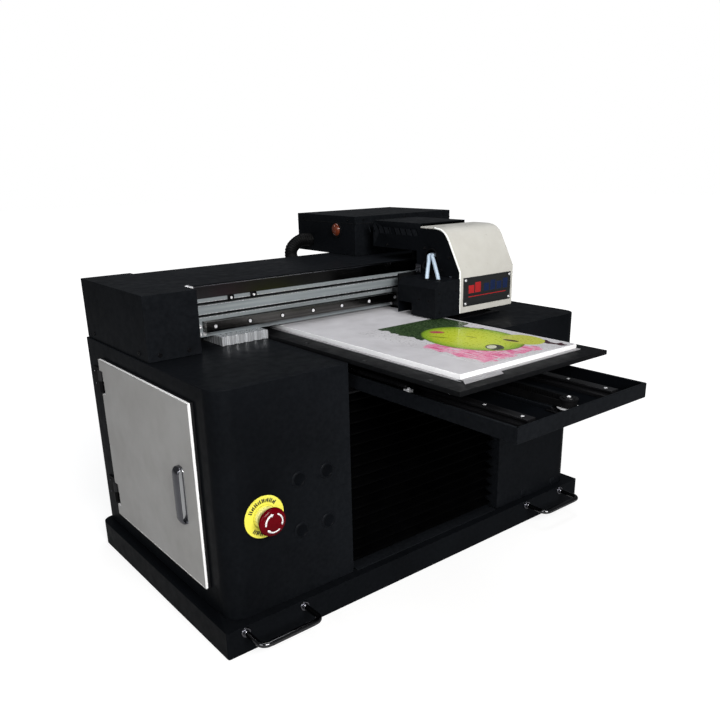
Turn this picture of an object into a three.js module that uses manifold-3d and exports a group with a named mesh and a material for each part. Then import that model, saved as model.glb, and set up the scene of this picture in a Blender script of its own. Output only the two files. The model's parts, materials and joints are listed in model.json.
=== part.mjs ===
// Flatbed UV printer: two cabinets on a plinth, a gantry beam across them, a print carriage that runs
// along the beam, and a lifting table whose bed runs front to back under the beam.
// Millimetres. +X is to the right, +Y to the rear, +Z up. The origin is the centre of the plinth's underside.
import * as THREE from "three";
import { mergeVertices } from "three/addons/utils/BufferGeometryUtils.js";
import Module from "manifold-3d";

const wasm = await Module();
wasm.setup();

// ---------------------------------------------------------------- driving dimensions
const GAP = 0.3; // air between pieces that touch
const SHEET = 2.5; // cabinet and plinth sheet
const THIN_SHEET = 2; // covers

const LEFT_CABINET_WIDTH = 209.5;
const BAY_WIDTH = 325; // the well between the cabinets
const RIGHT_CABINET_WIDTH = 201;
const LEDGE_LEFT = 16.5; // plinth showing beside the cabinets
const LEDGE_RIGHT = 14;
const LEDGE_FRONT = 14;
const LEDGE_REAR = 8;
const CABINET_DEPTH = 428;
const CABINET_HEIGHT = 327.2;
const CABINET_EDGE_RADIUS = 28;
const PLINTH_HEIGHT = 41;
const PLINTH_CORNER = 20;
const CABLE_HOLE = 50;

const DOOR_DEPTH = 311;
const DOOR_HEIGHT = 269.5;
const DOOR_THICKNESS = 7.7;
const DOOR_SKIN = 2;
const DOOR_FRONT_MARGIN = 53.5; // from the cabinet's front face
const DOOR_SILL = 34; // from the plinth top
const DOOR_LAP = 8; // door over its opening
const HINGE_HEIGHT = 36;
const HINGE_INSET = 20;
const HINGE_RADIUS = 4;
const HINGE_PIN = 1.5;
const HINGE_PIN_FIT = 0.4;
const HINGE_LEAF_WIDTH = 38;
const HANDLE_LENGTH = 92;
const HANDLE_WIDTH = 22;
const HANDLE_REACH = 18;

const BEAM_LIFT = 14.5; // beam underside over the cabinet tops
const BEAM_DEPTH = 40;
const BEAM_HEIGHT = 58;
const BEAM_SETBACK = 229.3; // beam face from the cabinet fronts
const BEAM_WALL = 4;
const BELT_SPACING = 18.2; // between the two belt runs, so also the pulleys' pitch diameter
const BELT_THICKNESS = 1.4;
const BELT_WIDTH = 9;
const BELT_DROP = 7.9; // top of the beam to the upper belt run
const GROOVE_DEPTH = 12;
const GROOVE_HEIGHT = 4.6;
const RAIL_WIDTH = 15.4;
const RAIL_THICKNESS = 13.7;
const RAIL_LIFT = 9; // beam underside to the rail
const STRIP_HEIGHT = 19;
const STRIP_THICKNESS = 1.5;
const HOOD_SLOT = 12; // slot behind the strip, for the carriage arm
const HOOD_DEPTH = 204; // beam face to hood rear
const HOOD_RISE = 19.5; // beam top to hood top
const HOOD_FLOOR_DROP = 1;

const END_COVER_WIDTH = 82.6;
const END_COVER_REACH = 40.8; // in front of the beam face
const END_COVER_DEPTH = 238;
const END_COVER_STEP = 2.9; // end cover's top over the hood
const END_COVER_INSET = 2.9;

const RISER_WIDTH_LEFT = 81;
const RISER_WIDTH_RIGHT = 60;
const RISER_DEPTH = 63;
const RISER_REACH = 21.3;
const RISER_FLUTES = 5;
const FLUTE_RADIUS = 4;
const RISER_INSET_LEFT = -1.2; // from the bay
const RISER_INSET_RIGHT = 122;

const MOTOR_SIDE = 56;
const MOTOR_LENGTH = 55;
const MOTOR_SHAFT = 4;
const MOTOR_FIT = 0.4;

const REAR_BOX_WIDTH = 253;
const REAR_BOX_DEPTH = 191;
const REAR_BOX_HEIGHT = 73;
const REAR_BOX_SETBACK = 114.7; // behind the beam face
const REAR_BOX_OVERHANG = 9; // right of the hood end
const LAMP_LENS_RADIUS = 12;
const CONDUIT_RADIUS = 13;

const CARRIAGE_LEFT = 18.2; // left of the right cabinet's inner wall
const CARRIAGE_WIDTH = 134.4;
const CARRIAGE_FRONT = 144.6; // cover face in front of the beam face
const CARRIAGE_CLEARANCE = 14.5; // cover's lower edge over the cabinet tops
const COVER_THICKNESS = 3;
const COVER_WALL_HEIGHT = 70; // upright part of the cover
const COVER_RISE = 82; // beam top to the cover's top
const COVER_SLOPE_RUN = 27;
const COVER_SLOPE_RISE = 49;
const COVER_TOP_LENGTH = 98; // front face to the cover's rear edge
const HOUSING_WIDTH = 111;
const ARM_RISE = 5.5; // arm over the beam, through the slot behind the strip
const HOUSING_TOP_RISE = 4.9; // housing top over the cover's underside line
const HOUSING_REAR = 83; // behind the beam face
const HOUSING_DEPTH_Z = 47; // height of the box that reaches over the beam
const PANEL_REAR = 37; // side panel's rear edge in front of the beam face
const TUBE_HOLE_RADIUS = 14;
const TUBE_HOLE_RISE = 89; // over the cover's lower edge
const TUBE_HOLE_BACK = 70; // behind the cover face
const LOUVRES = 8;
const LOUVRE_PITCH = 15;
const LOUVRE_WIDTH = 2.4;
const LAMP_WIDTH = 58.3;
const LAMP_DEPTH = 92;
const LAMP_HEIGHT = 59.5;
const LAMP_REACH = 0; // lamp face in front of the cover face
const LAMP_LIFT = -1; // over the cover's lower edge
const LAMP_CHAMFER_RUN = 11;
const LAMP_CHAMFER_RISE = 11;
const LAMP_NOTCH_LENGTH = 33;
const LAMP_NOTCH_HEIGHT = 20;
const LAMP_TUBE_RADIUS = 3.5;
const HEAD_WIDTH = 76;
const HEAD_DEPTH = 84;
const HEAD_HEIGHT = 58;
const NAMEPLATE_WIDTH = 120;
const NAMEPLATE_HEIGHT = 48.5;
const BLOCK_LENGTH = 58;
const BLOCK_WIDTH = 32;
const BLOCK_HEIGHT = 24;

const BOARD_CLEARANCE = 3; // board top under the beam
const BOARD_WIDTH = 236.7;
const BOARD_LENGTH = 450;
const BOARD_THICKNESS = 7;
const BOARD_MARGIN_FRONT = 34;
const BOARD_MARGIN_LEFT = 35.7;
const PLATFORM_LENGTH = 520;
const PLATFORM_THICKNESS = 6.5;
const PLATFORM_GAP_LEFT = 4.5;
const PLATFORM_GAP_RIGHT = 22.5;
const PLATFORM_REACH = 207.5; // in front of the cabinet faces
const TRAY_WIDTH = 264;
const TRAY_REACH = 283.6; // in front of the cabinet faces
const TRAY_LENGTH = 817;
const TRAY_HEIGHT = 20;
const TRAY_DROP = 21.5; // tray rim under the platform
const TRAY_GAP_LEFT = 19;
const Y_RAIL_SPACING = 171;
const Y_RAIL_LENGTH = 780;
const Y_RAIL_START = 17.5; // behind the tray's front face
const Y_RAIL_HEIGHT = 13;
const Y_BLOCK_LENGTH = 60;
const Y_BLOCK_SPACING = 200;
const IDLER_START = 26.9; // behind the tray's front face
const IDLER_RADIUS = 9;
const Y_BELT_LENGTH = 770;
const SPINE_WIDTH = 60;
const SPINE_HEIGHT = 6;

const CROSSBEAM_DEPTH = 110;
const CROSSBEAM_THICKNESS = 24;
const CROSSBEAM_REACH = 52; // into each cabinet
const SCREW_RADIUS = 8;
const SCREW_INSET = 33; // screw axis from the bay walls
const SHAFT_SPACING = 50;
const LIFT_TRAVEL = 100;
const PLEATS = 16;
const PLEAT_DEPTH = 20;
const PLEAT_WALL = 1.8;
const BELLOWS_SETBACK = 11;
const BELLOWS_GAP = 6;

const ESTOP_X = 60.5; // from the left cabinet's outer face
const ESTOP_Z = 143; // over the plinth
const ESTOP_LABEL_RADIUS = 30.5;
const ESTOP_HOLE_RADIUS = 11;
const ESTOP_HEAD_RADIUS = 20;
const ESTOP_TRAVEL = 5;
const LIFT_HANDLE_SPAN = 96;
const LIFT_HANDLE_REACH = 44;
const LIFT_HANDLE_RADIUS = 4;
const LIFT_HANDLE_BEND = 9;
const LIFT_HANDLE_RISE = 33;
const LIFT_HANDLE_INSET_LEFT = 28;
const LIFT_HANDLE_INSET_RIGHT = 54;

// ---------------------------------------------------------------- places that follow from them
const bayLeft = -(LEDGE_LEFT + LEFT_CABINET_WIDTH + BAY_WIDTH + RIGHT_CABINET_WIDTH + LEDGE_RIGHT) / 2
  + LEDGE_LEFT + LEFT_CABINET_WIDTH;
const bayRight = bayLeft + BAY_WIDTH;
const bayMiddle = (bayLeft + bayRight) / 2;
const leftOuter = bayLeft - LEFT_CABINET_WIDTH;
const rightOuter = bayRight + RIGHT_CABINET_WIDTH;
const plinthLeft = leftOuter - LEDGE_LEFT;
const plinthRight = rightOuter + LEDGE_RIGHT;
const plinthDepth = LEDGE_FRONT + CABINET_DEPTH + LEDGE_REAR;
const plinthFront = -plinthDepth / 2;
const cabinetFront = plinthFront + LEDGE_FRONT;
const cabinetRear = cabinetFront + CABINET_DEPTH;
const floorZ = PLINTH_HEIGHT + GAP;
const deckZ = floorZ + CABINET_HEIGHT;

const beamFace = cabinetFront + BEAM_SETBACK;
const beamRear = beamFace + BEAM_DEPTH;
const beamZ = deckZ + BEAM_LIFT;
const beamTop = beamZ + BEAM_HEIGHT;
const upperBeltZ = beamTop - BELT_DROP;
const lowerBeltZ = upperBeltZ - BELT_SPACING;
const pulleyZ = (upperBeltZ + lowerBeltZ) / 2;
const pulleyRadius = (BELT_SPACING - BELT_THICKNESS) / 2 - GAP;
const beltFace = beamFace + 2;
const endCoverLeft = leftOuter + END_COVER_INSET;
const endCoverRight = endCoverLeft + END_COVER_WIDTH;
const endCoverFront = beamFace - END_COVER_REACH;
const beamLeft = endCoverRight + 2;
const hoodRight = rightOuter + 7;
const beamRight = hoodRight - 26;
const hoodTop = beamTop + HOOD_RISE;
const endCoverTop = hoodTop + END_COVER_STEP;
const hoodRear = beamFace + HOOD_DEPTH;
const drivePulleyX = endCoverRight - 31;
const idlerPulleyX = hoodRight - 12;
const railZ = beamZ + RAIL_LIFT;

const carriageX = bayRight - CARRIAGE_LEFT;
const carriageRight = carriageX + CARRIAGE_WIDTH;
const coverFace = beamFace - CARRIAGE_FRONT;
const coverZ = deckZ + CARRIAGE_CLEARANCE;
const coverTop = beamTop + COVER_RISE;

const boardTop = beamZ - BOARD_CLEARANCE;
const platformTop = boardTop - BOARD_THICKNESS - GAP;
const platformZ = platformTop - PLATFORM_THICKNESS;
const platformLeft = bayLeft + PLATFORM_GAP_LEFT;
const platformRight = bayRight - PLATFORM_GAP_RIGHT;
const platformFront = cabinetFront - PLATFORM_REACH;
const trayTop = platformZ - TRAY_DROP;
const trayZ = trayTop - TRAY_HEIGHT;
const trayLeft = bayLeft + TRAY_GAP_LEFT;
const trayMiddle = trayLeft + TRAY_WIDTH / 2;
const trayFront = cabinetFront - TRAY_REACH;
const trayFloor = trayZ + SHEET;
const idlerY = trayFront + IDLER_START;
const yDriveY = idlerY + Y_BELT_LENGTH;
const beltX = trayMiddle - 1.7;
const liftY = 30;
const screwY = liftY - SHAFT_SPACING / 2;
const shaftY = liftY + SHAFT_SPACING / 2;
const screwLeftX = bayLeft - SCREW_INSET;
const screwRightX = bayRight + SCREW_INSET;
const crossbeamTop = trayZ - GAP;
const crossbeamZ = crossbeamTop - CROSSBEAM_THICKNESS;
const estopX = leftOuter + ESTOP_X;
const estopZ = PLINTH_HEIGHT + ESTOP_Z;

// ---------------------------------------------------------------- solids
function solid(geometry) {
  const bare = geometry.index ? geometry.toNonIndexed() : geometry;
  bare.deleteAttribute("normal");
  bare.deleteAttribute("uv");
  const merged = mergeVertices(bare, 1e-3);
  return new wasm.Manifold(
    new wasm.Mesh({
      numProp: 3,
      vertProperties: new Float32Array(merged.attributes.position.array),
      triVerts: new Uint32Array(merged.index.array),
    }),
  );
}

function join(...pieces) {
  return pieces.reduce((whole, piece) => whole.add(piece));
}

function cut(whole, ...tools) {
  return tools.reduce((rest, tool) => rest.subtract(tool), whole);
}

// A block between two corners, each given as [x, y, z].
function block(low, high) {
  const size = high.map((value, i) => value - low[i]);
  const geometry = new THREE.BoxGeometry(...size);
  geometry.translate(...high.map((value, i) => (value + low[i]) / 2));
  return solid(geometry);
}

// A cylinder from the centre of one end, along "x", "y" or "z" for a length.
function rod(axis, centre, radius, length, sides = 24) {
  const geometry = new THREE.CylinderGeometry(radius, radius, length, sides);
  geometry.translate(0, length / 2, 0);
  if (axis === "x") geometry.rotateZ(-Math.PI / 2);
  if (axis === "z") geometry.rotateX(Math.PI / 2);
  geometry.translate(...centre);
  return solid(geometry);
}

// A closed outline of [u, v] points pushed along an axis from one value to another.
// u and v are y and z for "x", x and z for "y", and x and y for "z".
function prism(axis, outline, from, to) {
  const shape = outline instanceof THREE.Shape
    ? outline
    : new THREE.Shape(outline.map(([u, v]) => new THREE.Vector2(u, v)));
  const geometry = new THREE.ExtrudeGeometry(shape, {
    depth: to - from,
    bevelEnabled: false,
    curveSegments: 8,
  });
  if (axis === "x") {
    geometry.rotateX(Math.PI / 2);
    geometry.rotateZ(Math.PI / 2);
    geometry.translate(from, 0, 0);
  } else if (axis === "y") {
    geometry.rotateX(Math.PI / 2);
    geometry.translate(0, to, 0);
  } else {
    geometry.translate(0, 0, from);
  }
  return solid(geometry);
}

// A round bar along a curve.
function bar(curve, radius, steps, sides = 10) {
  const section = new THREE.Shape();
  for (let i = 0; i < sides; i += 1) {
    const angle = (i / sides) * Math.PI * 2;
    const place = [radius * Math.cos(angle), radius * Math.sin(angle)];
    if (i === 0) section.moveTo(...place);
    else section.lineTo(...place);
  }
  return solid(new THREE.ExtrudeGeometry(section, { steps, extrudePath: curve, bevelEnabled: false }));
}

// A rectangle with its own radius at each corner, in the order front-left, front-right, rear-right, rear-left.
function roundedRectangle(x0, y0, x1, y1, [a, b, c, d]) {
  const shape = new THREE.Shape();
  const corner = (x, y, r, turn) => {
    if (r > 0) shape.absarc(x, y, r, turn - Math.PI / 2, turn);
  };
  shape.moveTo(x0 + a, y0);
  shape.lineTo(x1 - b, y0);
  corner(x1 - b, y0 + b, b, 0);
  shape.lineTo(x1, y1 - c);
  corner(x1 - c, y1 - c, c, Math.PI / 2);
  shape.lineTo(x0 + d, y1);
  corner(x0 + d, y1 - d, d, Math.PI);
  shape.lineTo(x0, y0 + a);
  corner(x0 + a, y0 + a, a, Math.PI * 1.5);
  return shape;
}

const finishes = {
  blackPowder: { color: 0x1b1d20, roughness: 0.55, metalness: 0.1 },
  blackMetal: { color: 0x141517, roughness: 0.4, metalness: 0.3 },
  doorPaint: { color: 0xd9d8d4, roughness: 0.5, metalness: 0 },
  coverPaint: { color: 0xece8df, roughness: 0.35, metalness: 0 },
  aluminium: { color: 0xb9bcbe, roughness: 0.35, metalness: 0.9 },
  steel: { color: 0x8d8f92, roughness: 0.25, metalness: 0.95 },
  darkSteel: { color: 0x5a5b5e, roughness: 0.3, metalness: 0.95 },
  chrome: { color: 0xd4d6d8, roughness: 0.08, metalness: 1 },
  rubber: { color: 0x17181a, roughness: 0.8, metalness: 0 },
  yellow: { color: 0xf2e44a, roughness: 0.45, metalness: 0 },
  red: { color: 0xb3121c, roughness: 0.3, metalness: 0 },
  amber: { color: 0xc05a18, roughness: 0.15, metalness: 0 },
  tube: { color: 0xaebfce, roughness: 0.4, metalness: 0 },
  board: { color: 0xf1f0ee, roughness: 0.4, metalness: 0 },
  circuit: { color: 0x1f5a38, roughness: 0.5, metalness: 0 },
  plate: { color: 0x55585c, roughness: 0.35, metalness: 0.3 },
  glass: { color: 0x9fb4c8, roughness: 0.05, metalness: 0 },
};

const printer = new THREE.Group();

function part(name, body, finish) {
  const mesh = body.getMesh();
  const geometry = new THREE.BufferGeometry();
  geometry.setAttribute("position", new THREE.BufferAttribute(mesh.vertProperties, 3));
  geometry.setIndex(new THREE.BufferAttribute(mesh.triVerts, 1));
  geometry.computeVertexNormals();
  const made = new THREE.Mesh(geometry, new THREE.MeshStandardMaterial(finishes[finish]));
  made.name = name;
  printer.add(made);
}

// ---------------------------------------------------------------- plinth and cabinets
function plinth() {
  const outline = roundedRectangle(plinthLeft, plinthFront, plinthRight, -plinthFront,
    [3, 3, PLINTH_CORNER, PLINTH_CORNER]);
  const inside = roundedRectangle(plinthLeft + SHEET, plinthFront + SHEET, plinthRight - SHEET,
    -plinthFront - SHEET, [0, 0, PLINTH_CORNER - SHEET, PLINTH_CORNER - SHEET]);
  const holes = [leftOuter + 60, bayMiddle, rightOuter - 60].map((x) =>
    block([x - CABLE_HOLE / 2, liftY + 60, PLINTH_HEIGHT - 2 * SHEET],
      [x + CABLE_HOLE / 2, liftY + 60 + CABLE_HOLE, PLINTH_HEIGHT + 1]));
  const shell = cut(prism("z", outline, 0, PLINTH_HEIGHT),
    prism("z", inside, SHEET, PLINTH_HEIGHT - SHEET), ...holes);
  part("base_plinth", shell, "blackPowder");
}

const doorFront = cabinetFront + DOOR_FRONT_MARGIN;
const doorRear = doorFront + DOOR_DEPTH;
const doorZ = PLINTH_HEIGHT + DOOR_SILL;
const doorTop = doorZ + DOOR_HEIGHT;
const doorInner = leftOuter - GAP;
const doorOuter = doorInner - DOOR_THICKNESS;
const hingeX = doorInner - HINGE_RADIUS - 1;
const hingeY = doorRear + HINGE_RADIUS + 1;
const hingeHeights = [doorZ + HINGE_INSET, doorTop - HINGE_INSET - HINGE_HEIGHT];

// The slot in a cabinet's inner wall that the lifting crossbeam passes through.
function liftSlot(wallX) {
  const room = 8;
  return block([wallX - 2 * SHEET, liftY - CROSSBEAM_DEPTH / 2 - room, crossbeamZ - LIFT_TRAVEL - room],
    [wallX + 2 * SHEET, liftY + CROSSBEAM_DEPTH / 2 + room, crossbeamTop + room]);
}

function leftCabinet() {
  const r = CABINET_EDGE_RADIUS;
  const outer = prism("z", roundedRectangle(leftOuter, cabinetFront, bayLeft, cabinetRear, [r, 0, 0, 0]),
    floorZ, deckZ);
  const inner = prism("z", roundedRectangle(leftOuter + SHEET, cabinetFront + SHEET, bayLeft - SHEET,
    cabinetRear - SHEET, [r - SHEET, 0, 0, 0]), floorZ - 1, deckZ - SHEET);
  const doorway = block([leftOuter - 1, doorFront + DOOR_LAP, doorZ + DOOR_LAP],
    [leftOuter + 2 * SHEET, doorRear - DOOR_LAP, doorTop - DOOR_LAP]);
  const estopHole = rod("y", [estopX, cabinetFront - 1, estopZ], ESTOP_HOLE_RADIUS + GAP, 2 * SHEET);
  const shell = cut(outer, inner, doorway, liftSlot(bayLeft), estopHole, inletOpening());
  part("left_cabinet_shell", shell, "blackPowder");
}

const inlet = { x: leftOuter + 60, z: PLINTH_HEIGHT + 30, width: 50, height: 30, depth: 24 };

function inletOpening() {
  return block([inlet.x - GAP, cabinetRear - 2 * SHEET, inlet.z - GAP],
    [inlet.x + inlet.width + GAP, cabinetRear + 1, inlet.z + inlet.height + GAP]);
}

function powerInlet() {
  const body = block([inlet.x, cabinetRear - inlet.depth, inlet.z],
    [inlet.x + inlet.width, cabinetRear, inlet.z + inlet.height]);
  const flange = block([inlet.x - 6, cabinetRear + GAP, inlet.z - 4],
    [inlet.x + inlet.width + 6, cabinetRear + 3, inlet.z + inlet.height + 4]);
  const neck = block([inlet.x, cabinetRear - 1, inlet.z],
    [inlet.x + inlet.width, cabinetRear + 1, inlet.z + inlet.height]);
  const socket = block([inlet.x + 13, cabinetRear - inlet.depth + 6, inlet.z + 5],
    [inlet.x + inlet.width - 13, cabinetRear + 4, inlet.z + inlet.height - 5]);
  part("power_inlet", cut(join(body, neck, flange), socket), "rubber");
}

const well = {
  left: carriageX + 24,
  right: carriageX + 24 + HEAD_WIDTH + 14,
  front: coverFace + 22,
  rear: coverFace + 22 + HEAD_DEPTH + 10,
  depth: 36,
  rim: 7,
};

function rightCabinet() {
  const r = CABINET_EDGE_RADIUS;
  const outer = prism("z", roundedRectangle(bayRight, cabinetFront, rightOuter, cabinetRear, [0, r, 0, 0]),
    floorZ, deckZ);
  const inner = prism("z", roundedRectangle(bayRight + SHEET, cabinetFront + SHEET, rightOuter - SHEET,
    cabinetRear - SHEET, [0, r - SHEET, 0, 0]), floorZ - 1, deckZ - SHEET);
  const opening = block([well.left - 1, well.front - 1, deckZ - 2 * SHEET],
    [well.right + 1, well.rear + 1, deckZ + 1]);
  part("right_cabinet_shell", cut(outer, inner, liftSlot(bayRight), opening), "blackPowder");
}

// Cap and wiper under the parked print head, hung in the right cabinet's deck by its rim.
function cappingStation() {
  const body = block([well.left, well.front, deckZ - well.depth], [well.right, well.rear, deckZ + GAP]);
  const rim = block([well.left - well.rim, well.front - well.rim, deckZ + GAP],
    [well.right + well.rim, well.rear + well.rim, deckZ + 2]);
  const hollow = block([well.left + SHEET, well.front + SHEET, deckZ - well.depth + SHEET],
    [well.right - SHEET, well.rear - SHEET, deckZ + 3]);
  const capOuter = block([well.left + 12, well.front + 26, deckZ - well.depth + 1],
    [well.right - 12, well.rear - 8, deckZ + 4]);
  const capInner = block([well.left + 15, well.front + 29, deckZ - 8],
    [well.right - 15, well.rear - 11, deckZ + 5]);
  const wiper = block([well.left + 12, well.front + 12, deckZ - well.depth + 1],
    [well.right - 12, well.front + 14, deckZ + 6]);
  part("capping_station", join(cut(join(body, rim), hollow), cut(capOuter, capInner), wiper), "rubber");
}

function bayRearPanel() {
  const flange = 14;
  const top = crossbeamZ - LIFT_TRAVEL - 4;
  const sheet = block([bayLeft + GAP, cabinetRear - SHEET, floorZ], [bayRight - GAP, cabinetRear, top]);
  const foot = block([bayLeft + GAP, cabinetRear - flange, floorZ],
    [bayRight - GAP, cabinetRear, floorZ + SHEET]);
  const head = block([bayLeft + GAP, cabinetRear - flange, top - SHEET],
    [bayRight - GAP, cabinetRear, top]);
  part("bay_rear_panel", join(sheet, foot, head), "blackPowder");
}

// ---------------------------------------------------------------- door
function hingeName(index) {
  return index === 0 ? "door_hinge_lower" : "door_hinge_upper";
}

function hinge(index) {
  const z = hingeHeights[index];
  const leaf = block([doorInner - 2, hingeY, z], [doorInner, hingeY + HINGE_LEAF_WIDTH, z + HINGE_HEIGHT]);
  const bridge = block([hingeX - 1, hingeY - 1, z], [doorInner, hingeY + 6, z + HINGE_HEIGHT / 2 - GAP]);
  const knuckle = rod("z", [hingeX, hingeY, z], HINGE_RADIUS, HINGE_HEIGHT / 2 - GAP, 20);
  const pin = rod("z", [hingeX, hingeY, z], HINGE_PIN, HINGE_HEIGHT, 16);
  const relief = rod("z", [hingeX, hingeY, z + HINGE_HEIGHT / 2 - GAP],
    HINGE_RADIUS + 2 * GAP, HINGE_HEIGHT / 2 + 1, 20);
  part(hingeName(index), join(cut(join(leaf, bridge), relief), knuckle, pin), "blackMetal");
}

function door() {
  const slab = block([doorOuter, doorFront, doorZ], [doorInner, doorRear, doorTop]);
  const pan = block([doorOuter + DOOR_SKIN, doorFront + DOOR_SKIN, doorZ + DOOR_SKIN],
    [doorInner + 1, doorRear - DOOR_SKIN - 16, doorTop - DOOR_SKIN]);
  let panel = cut(slab, pan);
  for (const z of hingeHeights) {
    const notch = block([doorOuter - 1, doorRear - 13.5, z - 1],
      [doorInner + 1, doorRear + 1, z + HINGE_HEIGHT + 1]);
    const middle = z + HINGE_HEIGHT / 2 + GAP;
    const leaf = block([doorInner - 4, doorRear - 18, middle],
      [doorInner - 2, hingeY, z + HINGE_HEIGHT]);
    const knuckle = rod("z", [hingeX, hingeY, middle], HINGE_RADIUS, HINGE_HEIGHT / 2 - GAP, 20);
    const bore = rod("z", [hingeX, hingeY, middle - 1], HINGE_PIN + HINGE_PIN_FIT, HINGE_HEIGHT, 16);
    panel = cut(join(cut(panel, notch), leaf, knuckle), bore);
  }
  part("cabinet_door", panel, "doorPaint");
}

// A bow handle with a finger space, standing upright near the door's front edge.
function doorHandle() {
  const y = doorFront + 42;
  const z = doorZ + 83;
  const face = doorOuter - GAP;
  const profile = new THREE.Shape();
  profile.moveTo(face, z);
  profile.bezierCurveTo(face - HANDLE_REACH * 1.3, z + 8, face - HANDLE_REACH * 1.05, z + HANDLE_LENGTH - 8,
    face, z + HANDLE_LENGTH);
  profile.lineTo(face, z + HANDLE_LENGTH - 12);
  profile.bezierCurveTo(face - HANDLE_REACH * 0.8, z + HANDLE_LENGTH - 20, face - HANDLE_REACH * 0.95, z + 22,
    face, z + 12);
  part("door_handle", prism("y", profile, y - HANDLE_WIDTH / 2, y + HANDLE_WIDTH / 2), "chrome");
}

// ---------------------------------------------------------------- gantry beam
function beam() {
  const body = block([beamLeft, beamFace, beamZ], [beamRight, beamRear, beamTop]);
  const grooves = [upperBeltZ, lowerBeltZ].map((z) =>
    block([beamLeft - 1, beamFace - 1, z - GROOVE_HEIGHT / 2],
      [beamRight + 1, beamFace + GROOVE_DEPTH, z + GROOVE_HEIGHT / 2]));
  const middle = (beamZ + beamTop) / 2 - 8;
  const inner = beamRear - BEAM_WALL;
  const hollows = [[beamZ + BEAM_WALL, middle - BEAM_WALL / 2], [middle + BEAM_WALL / 2, beamTop - BEAM_WALL]]
    .map(([low, high]) => block([beamLeft - 1, beamFace + GROOVE_DEPTH + BEAM_WALL, low],
      [beamRight + 1, inner, high]));
  const slots = [beamZ, beamTop].map((z) =>
    block([beamLeft - 1, beamRear - 12, z - 2], [beamRight + 1, beamRear - 6, z + 2]));
  const endPlate = block([beamRight - 1, beamFace, beamZ], [beamRight + 4, beamRear, beamTop]);
  const passage = block([beamRight - 2, beamFace - 1, lowerBeltZ - GROOVE_HEIGHT / 2],
    [beamRight + 5, beamFace + GROOVE_DEPTH, upperBeltZ + GROOVE_HEIGHT / 2]);
  const lugFront = beltFace + BELT_WIDTH + 4;
  const lug = block([beamRight + 3, lugFront, pulleyZ - 8], [idlerPulleyX + 7, lugFront + 6, pulleyZ + 8]);
  const pin = rod("y", [idlerPulleyX, beltFace - 1, pulleyZ], MOTOR_SHAFT, lugFront - beltFace + 2, 16);
  part("beam_extrusion", join(cut(body, ...grooves, ...hollows, ...slots), cut(endPlate, passage), lug, pin),
    "aluminium");
}

function riser(name, x, width) {
  const front = beamFace - RISER_REACH;
  const body = block([x, front, deckZ + GAP], [x + width, front + RISER_DEPTH, beamZ - GAP]);
  const flutes = [];
  for (let i = 0; i < RISER_FLUTES; i += 1) {
    const flute = x + (width * (i + 0.5)) / RISER_FLUTES;
    flutes.push(rod("z", [flute, front - FLUTE_RADIUS / 2, deckZ], FLUTE_RADIUS, BEAM_LIFT + 1, 16));
  }
  part(name, cut(body, ...flutes), "aluminium");
}

// Top, rear and floor of the beam in one folded sheet, open in front behind the steel strip.
function hood() {
  const left = endCoverRight + GAP;
  const front = beamFace + HOOD_SLOT;
  const floor = beamZ + HOOD_FLOOR_DROP;
  const t = THIN_SHEET;
  const outer = block([left, front, floor], [hoodRight, hoodRear, hoodTop]);
  const inner = block([left - 1, front - 1, floor + t], [hoodRight - t, hoodRear - t, hoodTop - t]);
  const belly = block([left - 1, front - 1, floor - 1], [hoodRight - t, beamRear + GAP, hoodTop - t]);
  const glandHole = rod("y", [conduit.startX, hoodRear - 2 * t, conduit.startZ], CONDUIT_RADIUS - 1, 3 * t);
  part("beam_top_cover", cut(outer, inner, belly, glandHole), "blackPowder");
}

function endCover() {
  const t = THIN_SHEET;
  const low = deckZ + GAP;
  const outer = block([endCoverLeft, endCoverFront, low],
    [endCoverRight, endCoverFront + END_COVER_DEPTH, endCoverTop]);
  const inner = block([endCoverLeft + t, endCoverFront + t, low - 1],
    [endCoverRight - t, endCoverFront + END_COVER_DEPTH - t, endCoverTop - t]);
  const throat = block([endCoverRight - 2 * t, beamFace - 6, low - 1],
    [endCoverRight + 1, endCoverFront + END_COVER_DEPTH - 8, hoodTop - t]);
  part("beam_left_end_cover", cut(outer, inner, throat), "blackPowder");
}

function railSection(centre, base, width, thickness, direction) {
  const half = width / 2;
  const waist = half - 2;
  const steps = [[half, 0], [half, 0.3], [waist, 0.45], [waist, 0.65], [half, 0.8], [half, 1]];
  const side = steps.map(([across, share]) => [across, base + direction * share * thickness]);
  const other = side.map(([across, along]) => [-across, along]).reverse();
  return [...side, ...other].map(([across, along]) => [centre + across, along]);
}

function linearRail() {
  const section = railSection(railZ + RAIL_WIDTH / 2, beamFace - GAP, RAIL_WIDTH, RAIL_THICKNESS, -1)
    .map(([z, y]) => [y, z]);
  part("x_linear_rail", prism("x", section, beamLeft + 22, beamRight - 5), "steel");
}

function encoderStrip() {
  const z = beamTop + 0.5;
  const strip = block([endCoverRight + GAP, beamFace - STRIP_THICKNESS, z],
    [beamRight, beamFace, z + STRIP_HEIGHT]);
  const tabs = [endCoverRight + GAP, beamRight - 12].map((x) =>
    block([x, beamFace - STRIP_THICKNESS - 2.5, z + 3], [x + 12, beamFace, z + STRIP_HEIGHT]));
  part("encoder_strip", join(strip, ...tabs), "darkSteel");
}

// A toothed belt as a closed band around two pulleys, in its own plane of [along, across].
function beltBand(start, end, middle, spacing, thickness) {
  const band = (radius) => {
    const shape = new THREE.Shape();
    shape.moveTo(start, middle - radius);
    shape.lineTo(end, middle - radius);
    shape.absarc(end, middle, radius, -Math.PI / 2, Math.PI / 2);
    shape.lineTo(start, middle + radius);
    shape.absarc(start, middle, radius, Math.PI / 2, Math.PI * 1.5);
    return shape;
  };
  return [band((spacing + thickness) / 2), band((spacing - thickness) / 2)];
}

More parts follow.
